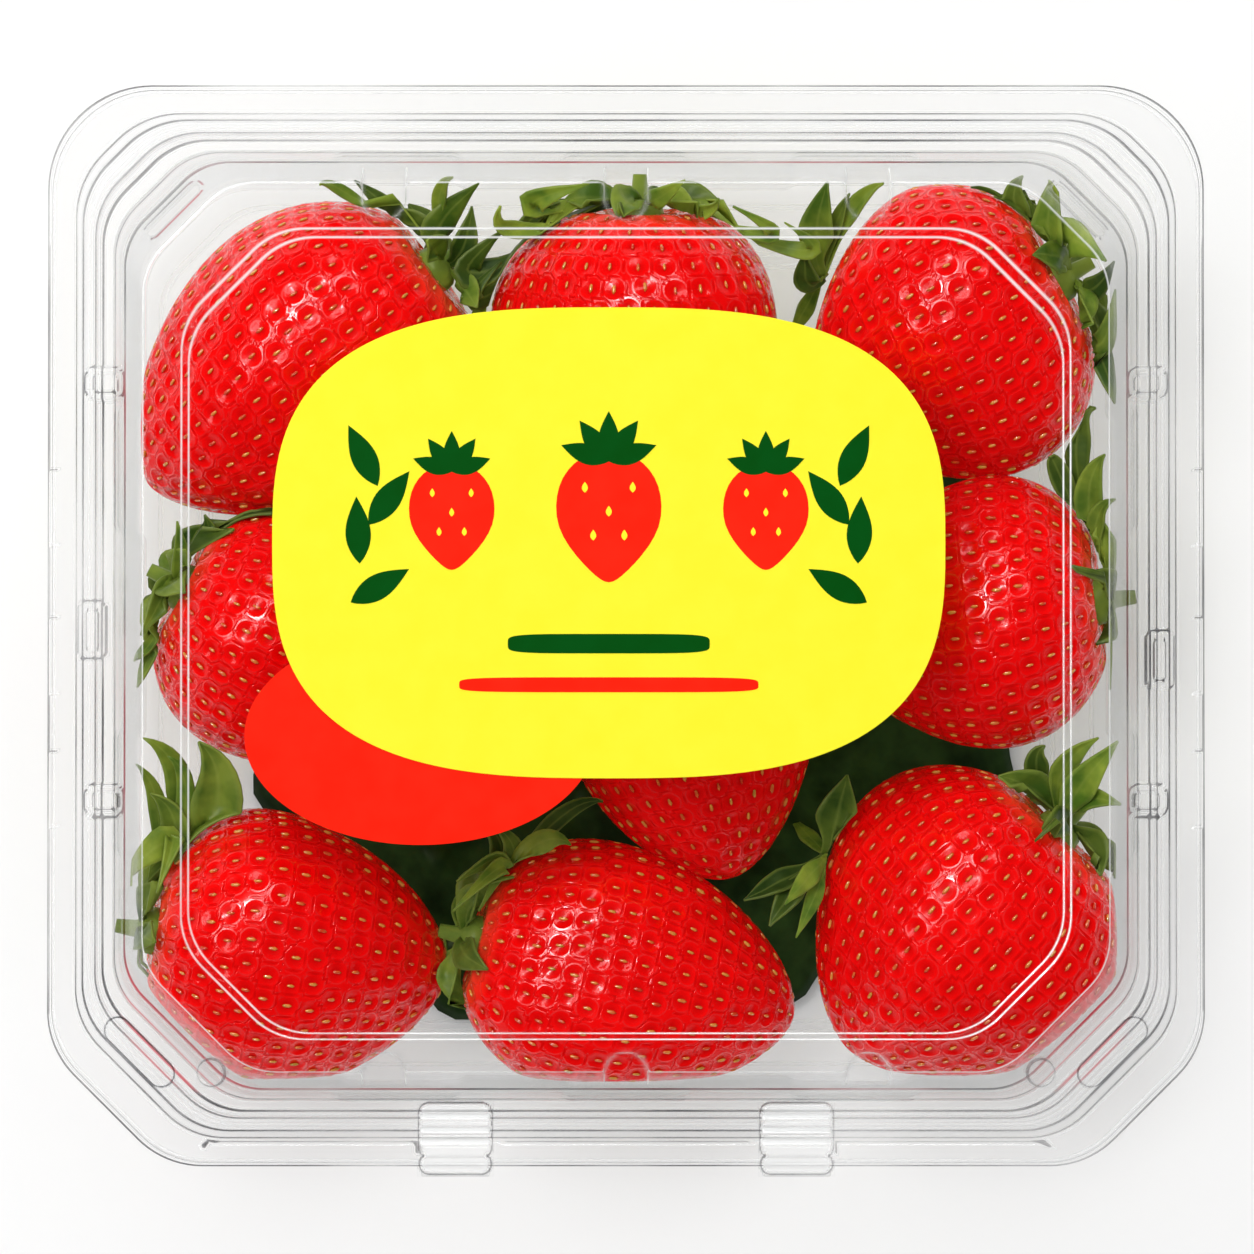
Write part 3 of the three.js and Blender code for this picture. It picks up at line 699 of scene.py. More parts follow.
def make_lid(material):
    """The lid's film, with its two corner vents."""
    features = (
        button_features() + ends_of(EDGE_GAPS, EDGE_GAP["half"], GAP_END),
        [(x, FLUTE["radius"]) for x in FLUTE_X],
    )
    lid = film_shell("lid_film", LID_PROFILE, (LID_STEPS, LID_COARSE), features, lid_lift, material)
    vent = VENT_SLOT
    places = [(side * vent["x"], vent["y"], -side * math.pi / 4) for side in (-1, 1)]
    cut_slots(lid, places, vent, PARTING + vent["low"], PARTING + vent["high"])
    return lid


def make_tray(material):
    """The tray's film, with the vent slots through its floor."""
    ramp_middle = PANEL_HALF - PANEL_RAMP / 2
    features = (
        button_features() + ends_of(SIDE_PANELS, ramp_middle, PANEL_END),
        ends_of(END_PANELS, ramp_middle, PANEL_END),
    )
    tray = film_shell("tray_film", TRAY_PROFILE, (TRAY_STEPS, TRAY_COARSE), features, tray_lift, material)
    places = [(x, y, 0.0) for x in FLOOR_VENT_X for y in FLOOR_VENT_Y]
    cut_slots(tray, places, FLOOR_VENT, FLOOR_VENT["low"], FLOOR_RAISE + FLOOR_VENT["past"])
    return tray


def mound(name, centre, size, turn, steps, shape_of, floor, material):
    """A closed low body over a turned rectangle. shape_of(points) gives the height and painted line of its
    top.
    """
    xs = np.linspace(-size[0] / 2, size[0] / 2, steps[0])
    ys = np.linspace(-size[1] / 2, size[1] / 2, steps[1])
    flat = np.stack(np.meshgrid(xs, ys, indexing="ij"), axis=-1).reshape(-1, 2)
    heights, line = shape_of(flat)
    plan = turned(flat, turn, centre)
    rows, columns = steps
    faces = []
    for i in range(rows - 1):
        for j in range(columns - 1):
            a = i * columns + j
            quad = (a, a + columns, a + columns + 1, a + 1)
            faces.append(quad)
            faces.append(tuple(k + len(flat) for k in reversed(quad)))
    rim = [i * columns for i in range(rows)]
    rim += [(rows - 1) * columns + j for j in range(1, columns)]
    rim += [i * columns + columns - 1 for i in range(rows - 2, -1, -1)]
    rim += list(range(columns - 2, 0, -1))
    for a, b in zip(rim, rim[1:] + rim[:1]):
        faces.append((b, a, a + len(flat), b + len(flat)))
    vertices = np.concatenate([at_height(plan, heights), at_height(plan, floor)])
    item = new_object(name, vertices, faces, material)
    set_attribute(item, "line", np.concatenate([line, np.zeros(len(flat))]))
    return item


def latch_mask(flat, part, middle):
    """1 on a latch's boss or foot, 0 beside it."""
    y = (part["back"] + part["front"]) / 2 - middle
    depth = part["back"] - part["front"]
    return box_mask(flat, 0, y, LATCH["width"], depth, part["round"], edge=part["edge"])


def make_latch(x, name, material):
    """A ribbed boss, a rounded foot over the edge and a tongue that hangs down in front; the boss and foot
    carry painted shade lines and a painted whitish sheen.
    """
    middle = (LATCH["back"] + FOOT["front"]) / 2
    depth = LATCH["back"] - FOOT["front"]

    def shape_of(flat):
        y = flat[:, 1] + middle
        boss = latch_mask(flat, LATCH, middle)
        foot = latch_mask(flat, FOOT, middle)
        z = np.maximum(boss * (LATCH["top"] - LID_FLANGE), foot * (FOOT["top"] - LID_FLANGE))
        # Painted shade lines along the edges of the boss and foot
        at_side = np.abs(flat[:, 0]) > LATCH["width"] / 2 - 1 * MM
        line = np.where(at_side, np.maximum(edge_line(boss), edge_line(foot)), 0)
        line = np.maximum(line, edge_line(boss) * (y > FOOT["back"]))
        line = np.maximum(line, edge_line(foot) * (y < LATCH["front"]))
        # Painted highlights in the grooves
        for groove_y in LATCH_GROOVES:
            groove = band(y - groove_y, GROOVE["half"], GROOVE["edge"])
            z = z - GROOVE["depth"] * groove * boss
            line = stronger(line, -1.0 * groove * boss)
        # Painted whitish sheen over the rest of the boss and foot
        line = np.where(np.abs(line) < 0.3, -0.76 * np.maximum(boss, foot), line)
        return PARTING + LID_FLANGE + FLANGE_SKIN + np.maximum(z, 0), line

    floor = PARTING + LID_FLANGE + FLANGE_SKIN / 2
    pad = mound(name, (x, middle), (LATCH["width"], depth), 0.0, LATCH_STEPS, shape_of, floor, material)
    place = (x, FOOT["front"] + TONGUE["thick"] / 2)
    low, high = PARTING - TONGUE["drop"], PARTING + LID_FLANGE
    return [pad, rounded_plate(name + "_tongue", place, TONGUE, low, high, material)]


def make_corner_trim(side, material):
    """The slanted pad and the round nub on a front corner of the flange, each with a painted shade line round
    it.
    """
    base = PARTING + LID_FLANGE + FLANGE_SKIN
    items = []
    for name, (trim, turn, steps) in CORNER_TRIM.items():
        def shape_of(flat):
            mask = box_mask(flat, 0, 0, trim["length"], trim["width"], trim["width"] / 2, edge=trim["edge"])
            return base + mask * (trim["top"] - LID_FLANGE), edge_line(mask)

        items.append(mound(
            f"corner_{name}_{side + 2}", (side * trim["x"], trim["y"]), (trim["length"], trim["width"]),
            side * turn, steps, shape_of, base - FLANGE_SKIN / 2, material
        ))
    return items


def rounded_plate(name, place, size, low, high, material):
    """A thin upright plate with round lower corners."""
    half = size["width"] / 2
    radius = size["round"]
    angles = np.linspace(0, math.pi / 2, 7)
    corner = np.stack([np.sin(angles), -np.cos(angles)], axis=1)
    right = corner * radius + (half - radius, low + radius)
    left = right[::-1] * (-1, 1)
    outline = np.concatenate([left, right, [[half, high], [-half, high]]])
    middle = outline.mean(axis=0)
    rings = []
    for depth, shrink in ((-0.5, 0.35), (-0.35, 0), (0.35, 0), (0.5, 0.35)):
        ring = middle + (outline - middle) * (1 - shrink * size["bevel"] / half)
        y = np.full(len(ring), place[1] + depth * size["thick"])
        rings.append(np.column_stack([ring[:, 0] + place[0], y, ring[:, 1]]))
    return new_object(name, *loft(np.array(rings)[::-1]), material, smooth=False)


# Berries

def berry_radius(share):
    """A berry's radius along its length, 1 at the widest."""
    return np.sin(np.pi * np.clip(share, 0, 1) ** SHOULDER_SHIFT) ** FULLNESS


def berry_frame(berry):
    """Calyx end, tip, greatest radius and three square directions of a berry."""
    calyx, tip, width = berry
    radius = width / 2 * MM
    start = np.array((calyx[0] * MM, calyx[1] * MM, BED + rise_of(radius)))
    end = np.array((tip[0] * MM, tip[1] * MM, BED + width * TIP_HEIGHT * MM))
    along = unit(end - start)
    across = unit(np.cross((0, 0, 1), along))
    return start, end, radius, along, across, np.cross(along, across)


def rise_of(radius):
    """Half a berry's height: a wide berry lies a little flatter."""
    return min(radius, BERRY_HALF_HEIGHT)


def skin_length(number):
    """Fine shares from calyx to tip, the skin's length up to each and the radius there."""
    start, end, radius, *_ = berry_frame(BERRIES[number])
    fine = np.linspace(0, 1, 2000)
    size = radius * berry_radius(fine)
    steps = np.hypot(np.diff(fine) * np.linalg.norm(end - start), np.diff(size))
    return fine, np.concatenate([[0], np.cumsum(steps)]), size


def berry_points(number, shares, angles):
    """Points of a berry's smooth form for arrays of shares and angles."""
    start, end, radius, along, across, over = berry_frame(BERRIES[number])
    phase = number * 2.4
    lump = (
        1 + 0.03 * np.cos(3 * angles + phase + 2 * shares) + 0.025 * np.cos(2 * angles - phase)
        + 0.015 * np.cos(5 * angles + 3 * phase + 6 * shares)
    )
    size = radius * berry_radius(shares) * lump
    centre = start + shares[..., None] * (end - start)
    dent = 1.6 * MM * np.exp(-((shares / 0.02) ** 2))
    centre = centre + dent[..., None] * along
    flat = rise_of(radius) / radius
    way = np.cos(angles)[..., None] * across + np.sin(angles)[..., None] * over * flat
    return inside_walls(centre + size[..., None] * way)


def inside_walls(points):
    """Points pressed softly against the tray's wall where they would cross it."""
    x, y, z = (points[..., k].copy() for k in range(3))
    lean = WALL_LEAN * np.clip(PARTING - z, 0, None)
    reach_x, back, front = (reach - lean for reach in (HEAP_HIGH[0], HEAP_HIGH[1], -HEAP_LOW[1]))
    x = np.sign(x) * soft_limit(np.abs(x), reach_x)
    y = np.where(y > 0, soft_limit(y, back), -soft_limit(-y, front))
    for cut, way, reach in ((BERRY_CUT["back"], 1, back), (BERRY_CUT["front"], -1, front)):
        total = np.abs(x) + way * y
        over = (total - soft_limit(total, reach_x + reach - cut)) / 2
        x = x - np.sign(x) * over
        y = y - way * over
    return np.stack([x, y, np.maximum(z, BED)], axis=-1)


def soft_limit(value, limit):
    """The value, bent over to stay under the limit."""
    room = 1.2 * MM
    excess = np.maximum(value - (limit - room), 0)
    return np.minimum(value, limit - room) + room * (1 - np.exp(-excess / room))


def surface_normals(grid):
    """Outward normals of a closed grid of rings (rows) round a body."""
    round_step = np.roll(grid, -1, axis=1) - np.roll(grid, 1, axis=1)
    long_step = np.gradient(grid, axis=0)
    return -unit(np.cross(long_step, round_step))


def seed_places(number):
    """Shares and angles of a berry's seeds, in rows round it that are half a step apart."""
    fine, length, size = skin_length(number)
    radius = berry_frame(BERRIES[number])[2]
    spacing = SEED_SPACING * (0.6 + 0.4 * radius / BERRY_HALF_HEIGHT)
    count = round(length[-1] / (ROW_SHARE * spacing))
    shares = []
    angles = []
    for row in range(1, count):
        share = np.interp(row / count * length[-1], length, fine)
        around = max(round(2 * math.pi * np.interp(share, fine, size) / spacing), 3)
        jitter = randoms.normal(0, SEED_JITTER, (2, around))
        turns = np.arange(around) + 0.5 * (row % 2) + 0.35 * math.sin(row * 1.3) + jitter[0]
        angles.append(turns / around * 2 * math.pi)
        shares.append(np.interp((row + jitter[1]) / count * length[-1], length, fine))
    return np.concatenate(shares), np.concatenate(angles), spacing


def pit_height(ratio):
    """Height of the skin at a distance from a seed, as a share of the seeds' spacing."""
    bowl = 1 - smoothstep(0.06, 0.44, ratio)
    rim = np.exp(-(((ratio - 0.47) / 0.07) ** 2))
    return RIM_HEIGHT * rim - CRATER_DEPTH * bowl


def nearest_spots(points, spots):
    """Distance from each point to its nearest spot, and which spot that is."""
    nearest = np.full(len(points), 1.0)
    which = np.zeros(len(points), dtype=int)
    for chunk in np.array_split(np.arange(len(spots)), 8):
        gaps = np.linalg.norm(points[:, None, :] - spots[None, chunk, :], axis=2)
        closer = gaps.min(axis=1) < nearest
        which = np.where(closer, chunk[gaps.argmin(axis=1)], which)
        nearest = np.minimum(nearest, gaps.min(axis=1))
    return nearest, which


def in_loft(values, ends):
    """A grid's values in the order of a loft that starts at its last ring, with those of the two ends."""
    return np.concatenate([values[::-1].reshape(-1, *values.shape[2:]), ends])


def berry_body(number, material):
    """One berry's skin with a crater round each seed. Returns the object and the seeds' frames."""
    fine, length, _ = skin_length(number)
    rows = np.interp(np.linspace(0, length[-1], BERRY_RINGS), length, fine)[1:-1]
    shares, angles = np.meshgrid(rows, circle(BERRY_SIDES), indexing="ij")
    grid = berry_points(number, shares, angles)
    normals = surface_normals(grid)
    seed_shares, seed_angles, spacing = seed_places(number)
    spots = berry_points(number, seed_shares, seed_angles)
    nearest, which = nearest_spots(grid.reshape(-1, 3), spots)
    ratio = nearest.reshape(shares.shape) / spacing
    fade = np.clip(smoothstep(0.0, 0.06, shares) + 0.35, 0, 1)
    skin = grid + normals * (pit_height(ratio) * fade)[..., None]
    vertices, faces = loft(skin[::-1])
    item = new_object(f"berry_{number + 1}", vertices, faces, material)
    way = berry_frame(BERRIES[number])[3]
    set_attribute(item, "pit", in_loft(ratio, [1.0, 1.0]))
    set_attribute(item, "pit_size", np.full(len(vertices), spacing))
    set_attribute(item, "shoulder", in_loft(shares, [1.0, 0.0]))
    set_vectors(item, "pit_middle", in_loft(spots[which].reshape(grid.shape), vertices[-2:]))
    set_vectors(item, "plain_normal", in_loft(normals, [way, -way]))
    step = 1e-3
    along = berry_points(number, np.clip(seed_shares + step, 0, 1), seed_angles) - spots
    aside = berry_points(number, seed_shares, seed_angles + step) - spots
    out = unit(np.cross(aside, along))
    outward = np.sign((out * (spots - spots.mean(axis=0))).sum(axis=1))[:, None]
    return item, spots, unit(along), out * outward


def seed_mesh(spots, along, out):
    """One small pointed seed at each spot, lying in its crater."""
    angles = circle(SEED_SIDES)
    parts = []
    for spot, length_way, up in zip(spots, along, out):
        across = np.cross(up, length_way)
        scale = randoms.uniform(0.85, 1.15)
        middle = spot - up * (CRATER_DEPTH - 0.16 * MM)
        body = []
        for reach, size in SEED_RINGS:
            ring = middle + length_way * reach * SEED["length"] * scale
            ring = ring + np.cos(angles)[:, None] * across * size * SEED["width"] / 2 * scale
            ring = ring + np.sin(angles)[:, None] * up * size * SEED["thick"] / 2 * scale
            body.append(ring)
        first = middle - length_way * SEED["length"] / 2 * scale
        last = middle + length_way * SEED["length"] * 0.56 * scale
        parts.append(loft(np.array(body), (first, last)))
    return join(parts)


def leaf_part(root, base, tip, width, tone):
    """One cupped, pointed leaf from its root past its base to its tip, closed on both faces."""
    shares = np.linspace(0, 1, LEAF_STATIONS)[:, None]
    bend = 2 * base - (root + tip) / 2
    path = bezier(root, bend, tip, LEAF_STATIONS)
    ahead = unit(np.gradient(path, axis=0))
    side = unit(np.cross(ahead, (0, 0, 1)))
    lean = randoms.uniform(-0.5, 0.5)
    side = side * math.cos(lean) + np.cross(side, ahead) * math.sin(lean)
    over = np.cross(side, ahead)
    grown = 0.35 + 0.65 * smoothstep(0.2, 0.62, shares)
    point = 1 - np.clip((shares - 0.52) / 0.48, 0, 1) ** 1.7
    half = np.maximum(width / 2 * grown * point, 0.1 * MM)
    across = np.linspace(-1, 1, LEAF_COLUMNS)[None, :]
    cup = half * randoms.uniform(-0.15, 0.5) * np.abs(across) ** 1.6
    ruffle = 0.08 * half * np.sin(shares * 17 + across * 2.5 + randoms.uniform(0, 6))
    middle = path[:, None, :] + (half * across)[..., None] * side[:, None, :]
    middle = middle + (cup + ruffle)[..., None] * over[:, None, :]
    middle = keep_inside(clear_of_berries(middle.reshape(-1, 3))).reshape(middle.shape)
    face = unit(np.cross(np.gradient(middle, axis=1), np.gradient(middle, axis=0)))
    top = middle + face * LEAF_THICK / 2
    bottom = middle - face * LEAF_THICK / 2
    vertices, faces = loft(np.concatenate([top, bottom[:, ::-1]], axis=1)[::-1])
    edge = np.broadcast_to(np.abs(across), (LEAF_STATIONS, LEAF_COLUMNS))
    edges = in_loft(np.concatenate([edge, edge[:, ::-1]], axis=1), [0.0, 0.0])
    return vertices, faces, np.full(len(vertices), tone), edges


def clear_of_berries(points):
    """Leaf points moved out of every berry that they would cross."""
    for berry in BERRIES:
        start, end, radius, along, _, _ = berry_frame(berry)
        size = np.linalg.norm(end - start)
        reach = (points - start) @ along
        aside = points - start - reach[:, None] * along
        distance = np.maximum(np.linalg.norm(aside, axis=1), 1e-6)
        wanted = radius * berry_radius(reach / size) * 1.05 + 0.3 * MM
        within = (reach > 0) & (reach < size) & (distance < wanted)
        behind = within & (reach < 0.07 * size)
        points = np.where(behind[:, None], points - along * (reach + 0.35 * MM)[:, None], points)
        beside = within & ~behind
        points = np.where(beside[:, None], points + aside * (wanted / distance - 1)[:, None], points)
    return points


def keep_inside(points):
    """Leaf points pressed against the film where they would cross it."""
    x, y, z = points.T.copy()
    room = LEAF_ROOM
    lean = WALL_LEAN * np.clip(PARTING - z, 0, None) + LID_LEAN * np.clip(z - PARTING, 0, None)
    limit_x, back, front = room["x"] - lean, room["back"] - lean, room["front"] - lean
    x = np.clip(x, -limit_x, limit_x)
    y = np.clip(y, -front, back)
    for cut, way, reach in ((room["cut_back"], 1, back), (room["cut_front"], -1, front)):
        over = np.maximum(np.abs(x) + way * y - (limit_x + reach - cut), 0) / 2
        x = x - np.sign(x) * over
        y = y - way * over
    return np.stack([x, y, np.clip(z, BED + room["low"], PARTING + room["top"])], axis=1)


def calyx_parts(number):
    """A berry's small sepals, the leaves of its calyx that show, its round middle and the stalk's stub."""
    start, _, radius, along, across, over = berry_frame(BERRIES[number])
    root = start + along * 0.9 * MM
    back = -along
    parts = []
    for k in range(SEPALS):
        angle = (k + randoms.uniform(-0.25, 0.25)) / SEPALS * 2 * math.pi
        out = across * math.cos(angle) + over * math.sin(angle)
        length = radius * randoms.uniform(0.5, 0.68)
        base = root + out * length * 0.5 + back * 1.4 * MM
        tip = root + out * length + back * randoms.uniform(-3, 2) * MM
        parts.append(leaf_part(root, base, tip, randoms.uniform(4.2, 5.6) * MM, randoms.uniform(0.2, 0.8)))
    for low, high, width, tone in LEAVES.get(number, ()):
        base = np.array((*low, 0)) * MM + (0, 0, root[2] + (2 + 5 * tone) * MM)
        tip = np.array((*high, 0)) * MM + (0, 0, root[2] + (3 + 10 * tone) * MM)
        parts.append(leaf_part(root + back * 0.6 * MM, base, tip, width * MM, tone))
    parts.append(stalk(root, across, over, back))
    return parts


def stalk(root, across, over, back):
    """The round middle of a calyx and the stub of the stalk."""
    angles = circle(STALK_SIDES)
    rings = []
    for rise, size in STALK_RINGS:
        ring = root + back * rise * MM
        rings.append(ring + (np.cos(angles)[:, None] * across + np.sin(angles)[:, None] * over) * size * MM)
    vertices, faces = loft(np.array(rings))
    return vertices, faces, np.full(len(vertices), 0.7), np.zeros(len(vertices))


def sprig_parts():
    """The sprigs of leaves between the berries, each on a thin stalk that stands on the bed."""
    parts = []
    for spot, leaves in SPRIGS:
        root = np.array(spot) * MM
        for low, high, width, tone in leaves:
            base = np.array((*low, spot[2] + 2 + 4 * tone)) * MM
            tip = np.array((*high, spot[2] + 4 + 9 * tone)) * MM
            parts.append(leaf_part(root, base, tip, width * MM, tone))
        foot = np.array((spot[0] * 0.8, spot[1] * 0.8, BED / MM + 4)) * MM
        parts.append(leaf_part(foot, (foot + root) / 2, root + (0, 0, 1 * MM), 2.6 * MM, 0.6))
    return parts


def heap_core(material):
    """The bed of leaves and stalks low down between the berries, near-black as painted shade: it has no lit
    share, so the leaf finish gives it its shaded green.
    """
    angles = circle(120)
    wave = 0.96 + 0.03 * np.sin(3 * angles + 1) + 0.03 * np.sin(7 * angles) + 0.03 * np.sin(19 * angles)
    way = np.stack([np.cos(angles), np.sin(angles)], axis=1)
    round_way = np.sign(way) * np.abs(way) ** 0.75 * (SHADED_BED["width"] / 2, SHADED_BED["depth"] / 2)
    rings = []
    for share in np.linspace(0.03, 1, 36):
        plan = round_way * (wave * share)[:, None] + (0, SHADED_BED["y"])
        x, y = plan.T
        bumps = np.sin(x * 900) * np.cos(y * 800) + np.sin(x * 350 + y * 460)
        height = (SHADED_BED["height"] + bumps * SHADED_BED["bump"]) * (1 - share**4)
        rings.append(at_height(plan, BED + SHADED_BED["gap"] + height))
    rings.append(at_height(plan, BED + SHADED_BED["skin"]))
    item = new_object("heap_core", *loft(np.array(rings)), material)
    set_attribute(item, "edge", np.full(len(item.data.vertices), 0.5))
    return item


# Materials

class Graph:
    """A new material's nodes: its Principled shader and the kinds of node that the finishes use."""

    def __init__(self, name):
        self.material = bpy.data.materials.new(name)
        self.material.use_nodes = True
        self.nodes = self.material.node_tree.nodes
        self.skin = self.nodes["Principled BSDF"]

    def feed(self, node, inputs):
        """Links the sockets and sets the values that are given for a node's inputs."""
        for key, value in inputs.items():
            if isinstance(value, bpy.types.NodeSocket):
                self.material.node_tree.links.new(value, node.inputs[key])
            elif isinstance(value, tuple):
                node.inputs[key].default_value = (*value, 1)
            else:
                node.inputs[key].default_value = value

    def node(self, kind, output, inputs, **settings):
        """One output of a new node."""
        node = self.nodes.new("ShaderNode" + kind)
        for key, value in settings.items():
            setattr(node, key, value)
        self.feed(node, inputs)
        return node.outputs[output]

    def finish(self, inputs):
        """Feeds the Principled shader and gives back the material."""
        self.feed(self.skin, inputs)
        return self.material

    def place(self):
        """The place on the object."""
        return self.node("TexCoord", "Object", {})

    def noise(self, scale, detail=3.0):
        """Noise over the object."""
        return self.node("TexNoise", "Fac", {"Scale": scale, "Detail": detail, "Vector": self.place()})

    def ramp(self, value, stops):
        """A colour ramp over (place, colour) stops."""
        node = self.nodes.new("ShaderNodeValToRGB")
        elements = node.color_ramp.elements
        while len(elements) < len(stops):
            elements.new(0.5)
        for element, (place, colour) in zip(elements, stops):
            element.position = place
            element.color = (*colour, 1)
        self.feed(node, {"Fac": value})
        return node.outputs["Color"]

    def bump(self, value, strength, distance):
        """A normal, bent by a height."""
        return self.node("Bump", "Normal", {"Strength": strength, "Distance": distance, "Height": value})

    def mix(self, share, first, second):
        """A mix of two colours."""
        return self.node("Mix", "Result", {"Factor": share, "A": first, "B": second}, data_type="RGBA")

    def attribute(self, name, output="Fac"):
        """A mesh attribute."""
        return self.node("Attribute", output, {}, attribute_name=name)

    def math(self, operation, first, second):
        """Two values through one Math operation."""
        return self.node("Math", "Value", {0: first, 1: second}, operation=operation)


def greys(*stops):
    """Ramp stops of plain greys."""
    return tuple((at, (value,) * 3) for at, value in stops)


def film_material():
    """Clear film: see-through face on, greyer where it turns away, with thin painted lines along its bends:
    dark lines of painted shade, reddened near the fruit as a painted reflection, and white lines and flanks
    of painted highlight.
    """
    graph = Graph("clear_film")
    facing = graph.node("LayerWeight", "Facing", {"Blend": 0.5})
    line = graph.attribute("line")
    patches = graph.ramp(graph.noise(45, 2.0), greys((0.30, 0.35), (0.62, 1.0)))
    # Painted shade: dark lines where the line is strongly positive, broken up by noise patches
    dark = graph.ramp(line, greys((0.52, 0.0), (0.70, 0.75), (0.90, 1.0)))
    dark = graph.math("MULTIPLY", dark, patches)
    # Painted highlights: white lines where the line is negative
    painted_highlight = graph.math("MULTIPLY", line, -1.0)
    painted_highlight = graph.ramp(painted_highlight, greys((0.58, 0.0), (0.80, 0.45), (0.97, 0.82)))
    painted_highlight = graph.math("MULTIPLY", painted_highlight, graph.ramp(patches, greys((0.35, 0.7), (0.8, 1.0))))
    # Painted highlight: a faint white flank beside each dark line
    flank_highlight = graph.ramp(line, greys((0.05, 0.0), (0.25, 0.28), (0.48, 0.0)))
    edge_on = graph.ramp(facing, greys((0.0, 0.0), (0.35, 0.004), (0.7, 0.05), (0.9, 0.16), (1.0, 0.3)))
    see_through = graph.ramp(facing, (
        (0.0, (0.99, 0.99, 0.99)), (0.4, (0.975, 0.976, 0.978)),
        (0.85, (0.95, 0.952, 0.955)), (1.0, (0.75, 0.76, 0.76)),
    ))
    # Painted reflection of the red fruit in the dark lines, in patches near the fruit
    red_reflection = graph.ramp(graph.noise(28, 1.0), greys((0.44, 0.0), (0.56, 1.0)))
    red_reflection = graph.math("MULTIPLY", red_reflection, graph.attribute("near_fruit"))
    shade_line_colour = graph.mix(red_reflection, (0.16, 0.16, 0.17), (0.80, 0.10, 0.14))
    # The white shader that the painted highlights and the turned-away film mix in
    graph.finish({
        "Base Color": (0.97, 0.98, 0.98), "Roughness": 0.08, "IOR": 1.5,
        "Normal": graph.bump(graph.noise(55, 2.0), 0.1, 0.3 * MM),
    })
    surface = graph.node("MixShader", "Shader", {
        "Fac": graph.math("MAXIMUM", graph.math("MAXIMUM", painted_highlight, flank_highlight), edge_on),
        1: graph.node("BsdfTransparent", "BSDF", {"Color": graph.mix(dark, see_through, shade_line_colour)}),
        2: graph.skin.outputs["BSDF"],
    })
    graph.feed(graph.nodes["Material Output"], {"Surface": surface})
    return graph.material


def pit_distance(graph):
    """Distance to the nearest seed as a share of the seeds' spacing, sharp inside each pit."""
    ends = {0: graph.place(), 1: graph.attribute("pit_middle", "Vector")}
    gap = graph.node("VectorMath", "Value", ends, operation="DISTANCE")
    sharp = graph.math("DIVIDE", gap, graph.attribute("pit_size"))
    soft = graph.attribute("pit")
    share = graph.ramp(soft, greys((0.50, 0.0), (0.56, 1.0)))
    return graph.node("Mix", "Result", {"Factor": share, "A": sharp, "B": soft})


def berry_material():
    """Wet red skin with a gloss ring round each pit, darker red down in each pit as painted shade, and paler
    under the leaves.
    """
    graph = Graph("berry_skin")
    distance = pit_distance(graph)
    patches = graph.ramp(graph.noise(60, 2.0), ((0.3, (0.80, 0.001, 0.0015)), (0.7, (0.94, 0.002, 0.002))))
    # Painted shade: the skin is darker red down in each pit
    pit_shade = graph.ramp(distance, greys((0.10, 0.7), (0.34, 0.0)))
    pit_shaded_skin = graph.mix(pit_shade, patches, (0.58, 0.001, 0.001))
    pale = graph.ramp(graph.attribute("shoulder"), greys((0.0, 0.45), (0.08, 0.0)))
    rim = graph.ramp(distance, greys((0.0, 0.3), (0.28, 0.5), (0.42, 0.95), (0.46, 1.0), (0.6, 1.0)))
    ring = graph.ramp(distance, greys((0.395, 0.0), (0.425, 1.0), (0.445, 1.0), (0.475, 0.0)))
    plain_normal = graph.node(
        "VectorTransform", "Vector", {"Vector": graph.attribute("plain_normal", "Vector")},
        vector_type="NORMAL", convert_from="OBJECT", convert_to="WORLD"
    )
    return graph.finish({
        "Base Color": graph.mix(pale, pit_shaded_skin, (0.85, 0.14, 0.05)),
        "Roughness": 0.16, "Specular IOR Level": 0.14,
        "Normal": graph.bump(rim, 0.8, 0.16 * MM),
        "Coat Weight": ring, "Coat Roughness": 0.26, "Coat IOR": 1.7, "Coat Normal": plain_normal,
    })


def seed_material():
    """Glossy seeds between straw and red."""
    graph = Graph("seeds")
    colour = graph.ramp(graph.noise(420, 1.0), (
        (0.32, (0.62, 0.04, 0.010)), (0.46, (0.68, 0.14, 0.03)),
        (0.6, (0.74, 0.28, 0.05)), (0.75, (0.42, 0.22, 0.03)),
    ))
    return graph.finish({
        "Base Color": colour, "Roughness": 0.2, "Coat Weight": 1.0,
        "Normal": graph.bump(graph.noise(2600, 2.0), 0.3, 0.05 * MM),
    })


def leaf_material():
    """Soft green leaf: painted shade and light, from a near-black shaded green to a lit one by its lit share,
    paler along its edges, with fine veins.
    """
    graph = Graph("leaf")
    blotches = graph.noise(190)
    # Painted shade and light: a near-black shaded copy of the leaf green and a lit one, mixed by each leaf's
    # lit share
    dark = graph.ramp(blotches, ((0.35, (0.006, 0.020, 0.003)), (0.65, (0.020, 0.050, 0.008))))
    lit_green = graph.ramp(blotches, ((0.35, (0.09, 0.18, 0.016)), (0.65, (0.30, 0.38, 0.04))))
    body = graph.mix(graph.attribute("tone"), dark, lit_green)
    edge = graph.ramp(graph.attribute("edge"), greys((0.72, 0.0), (1.0, 0.3)))
    rib = graph.ramp(graph.attribute("edge"), greys((0.0, 0.22), (0.16, 0.0)))
    pale = graph.math("MAXIMUM", edge, rib)
    inputs = {"Scale": 620, "Vector": graph.place()}
    veins = graph.node("TexVoronoi", "Distance", inputs, feature="DISTANCE_TO_EDGE")
    return graph.finish({
        "Base Color": graph.mix(pale, body, (0.30, 0.36, 0.07)),
        "Roughness": 0.42, "Specular IOR Level": 0.12,
        "Normal": graph.bump(veins, 0.35, 0.12 * MM),
    })


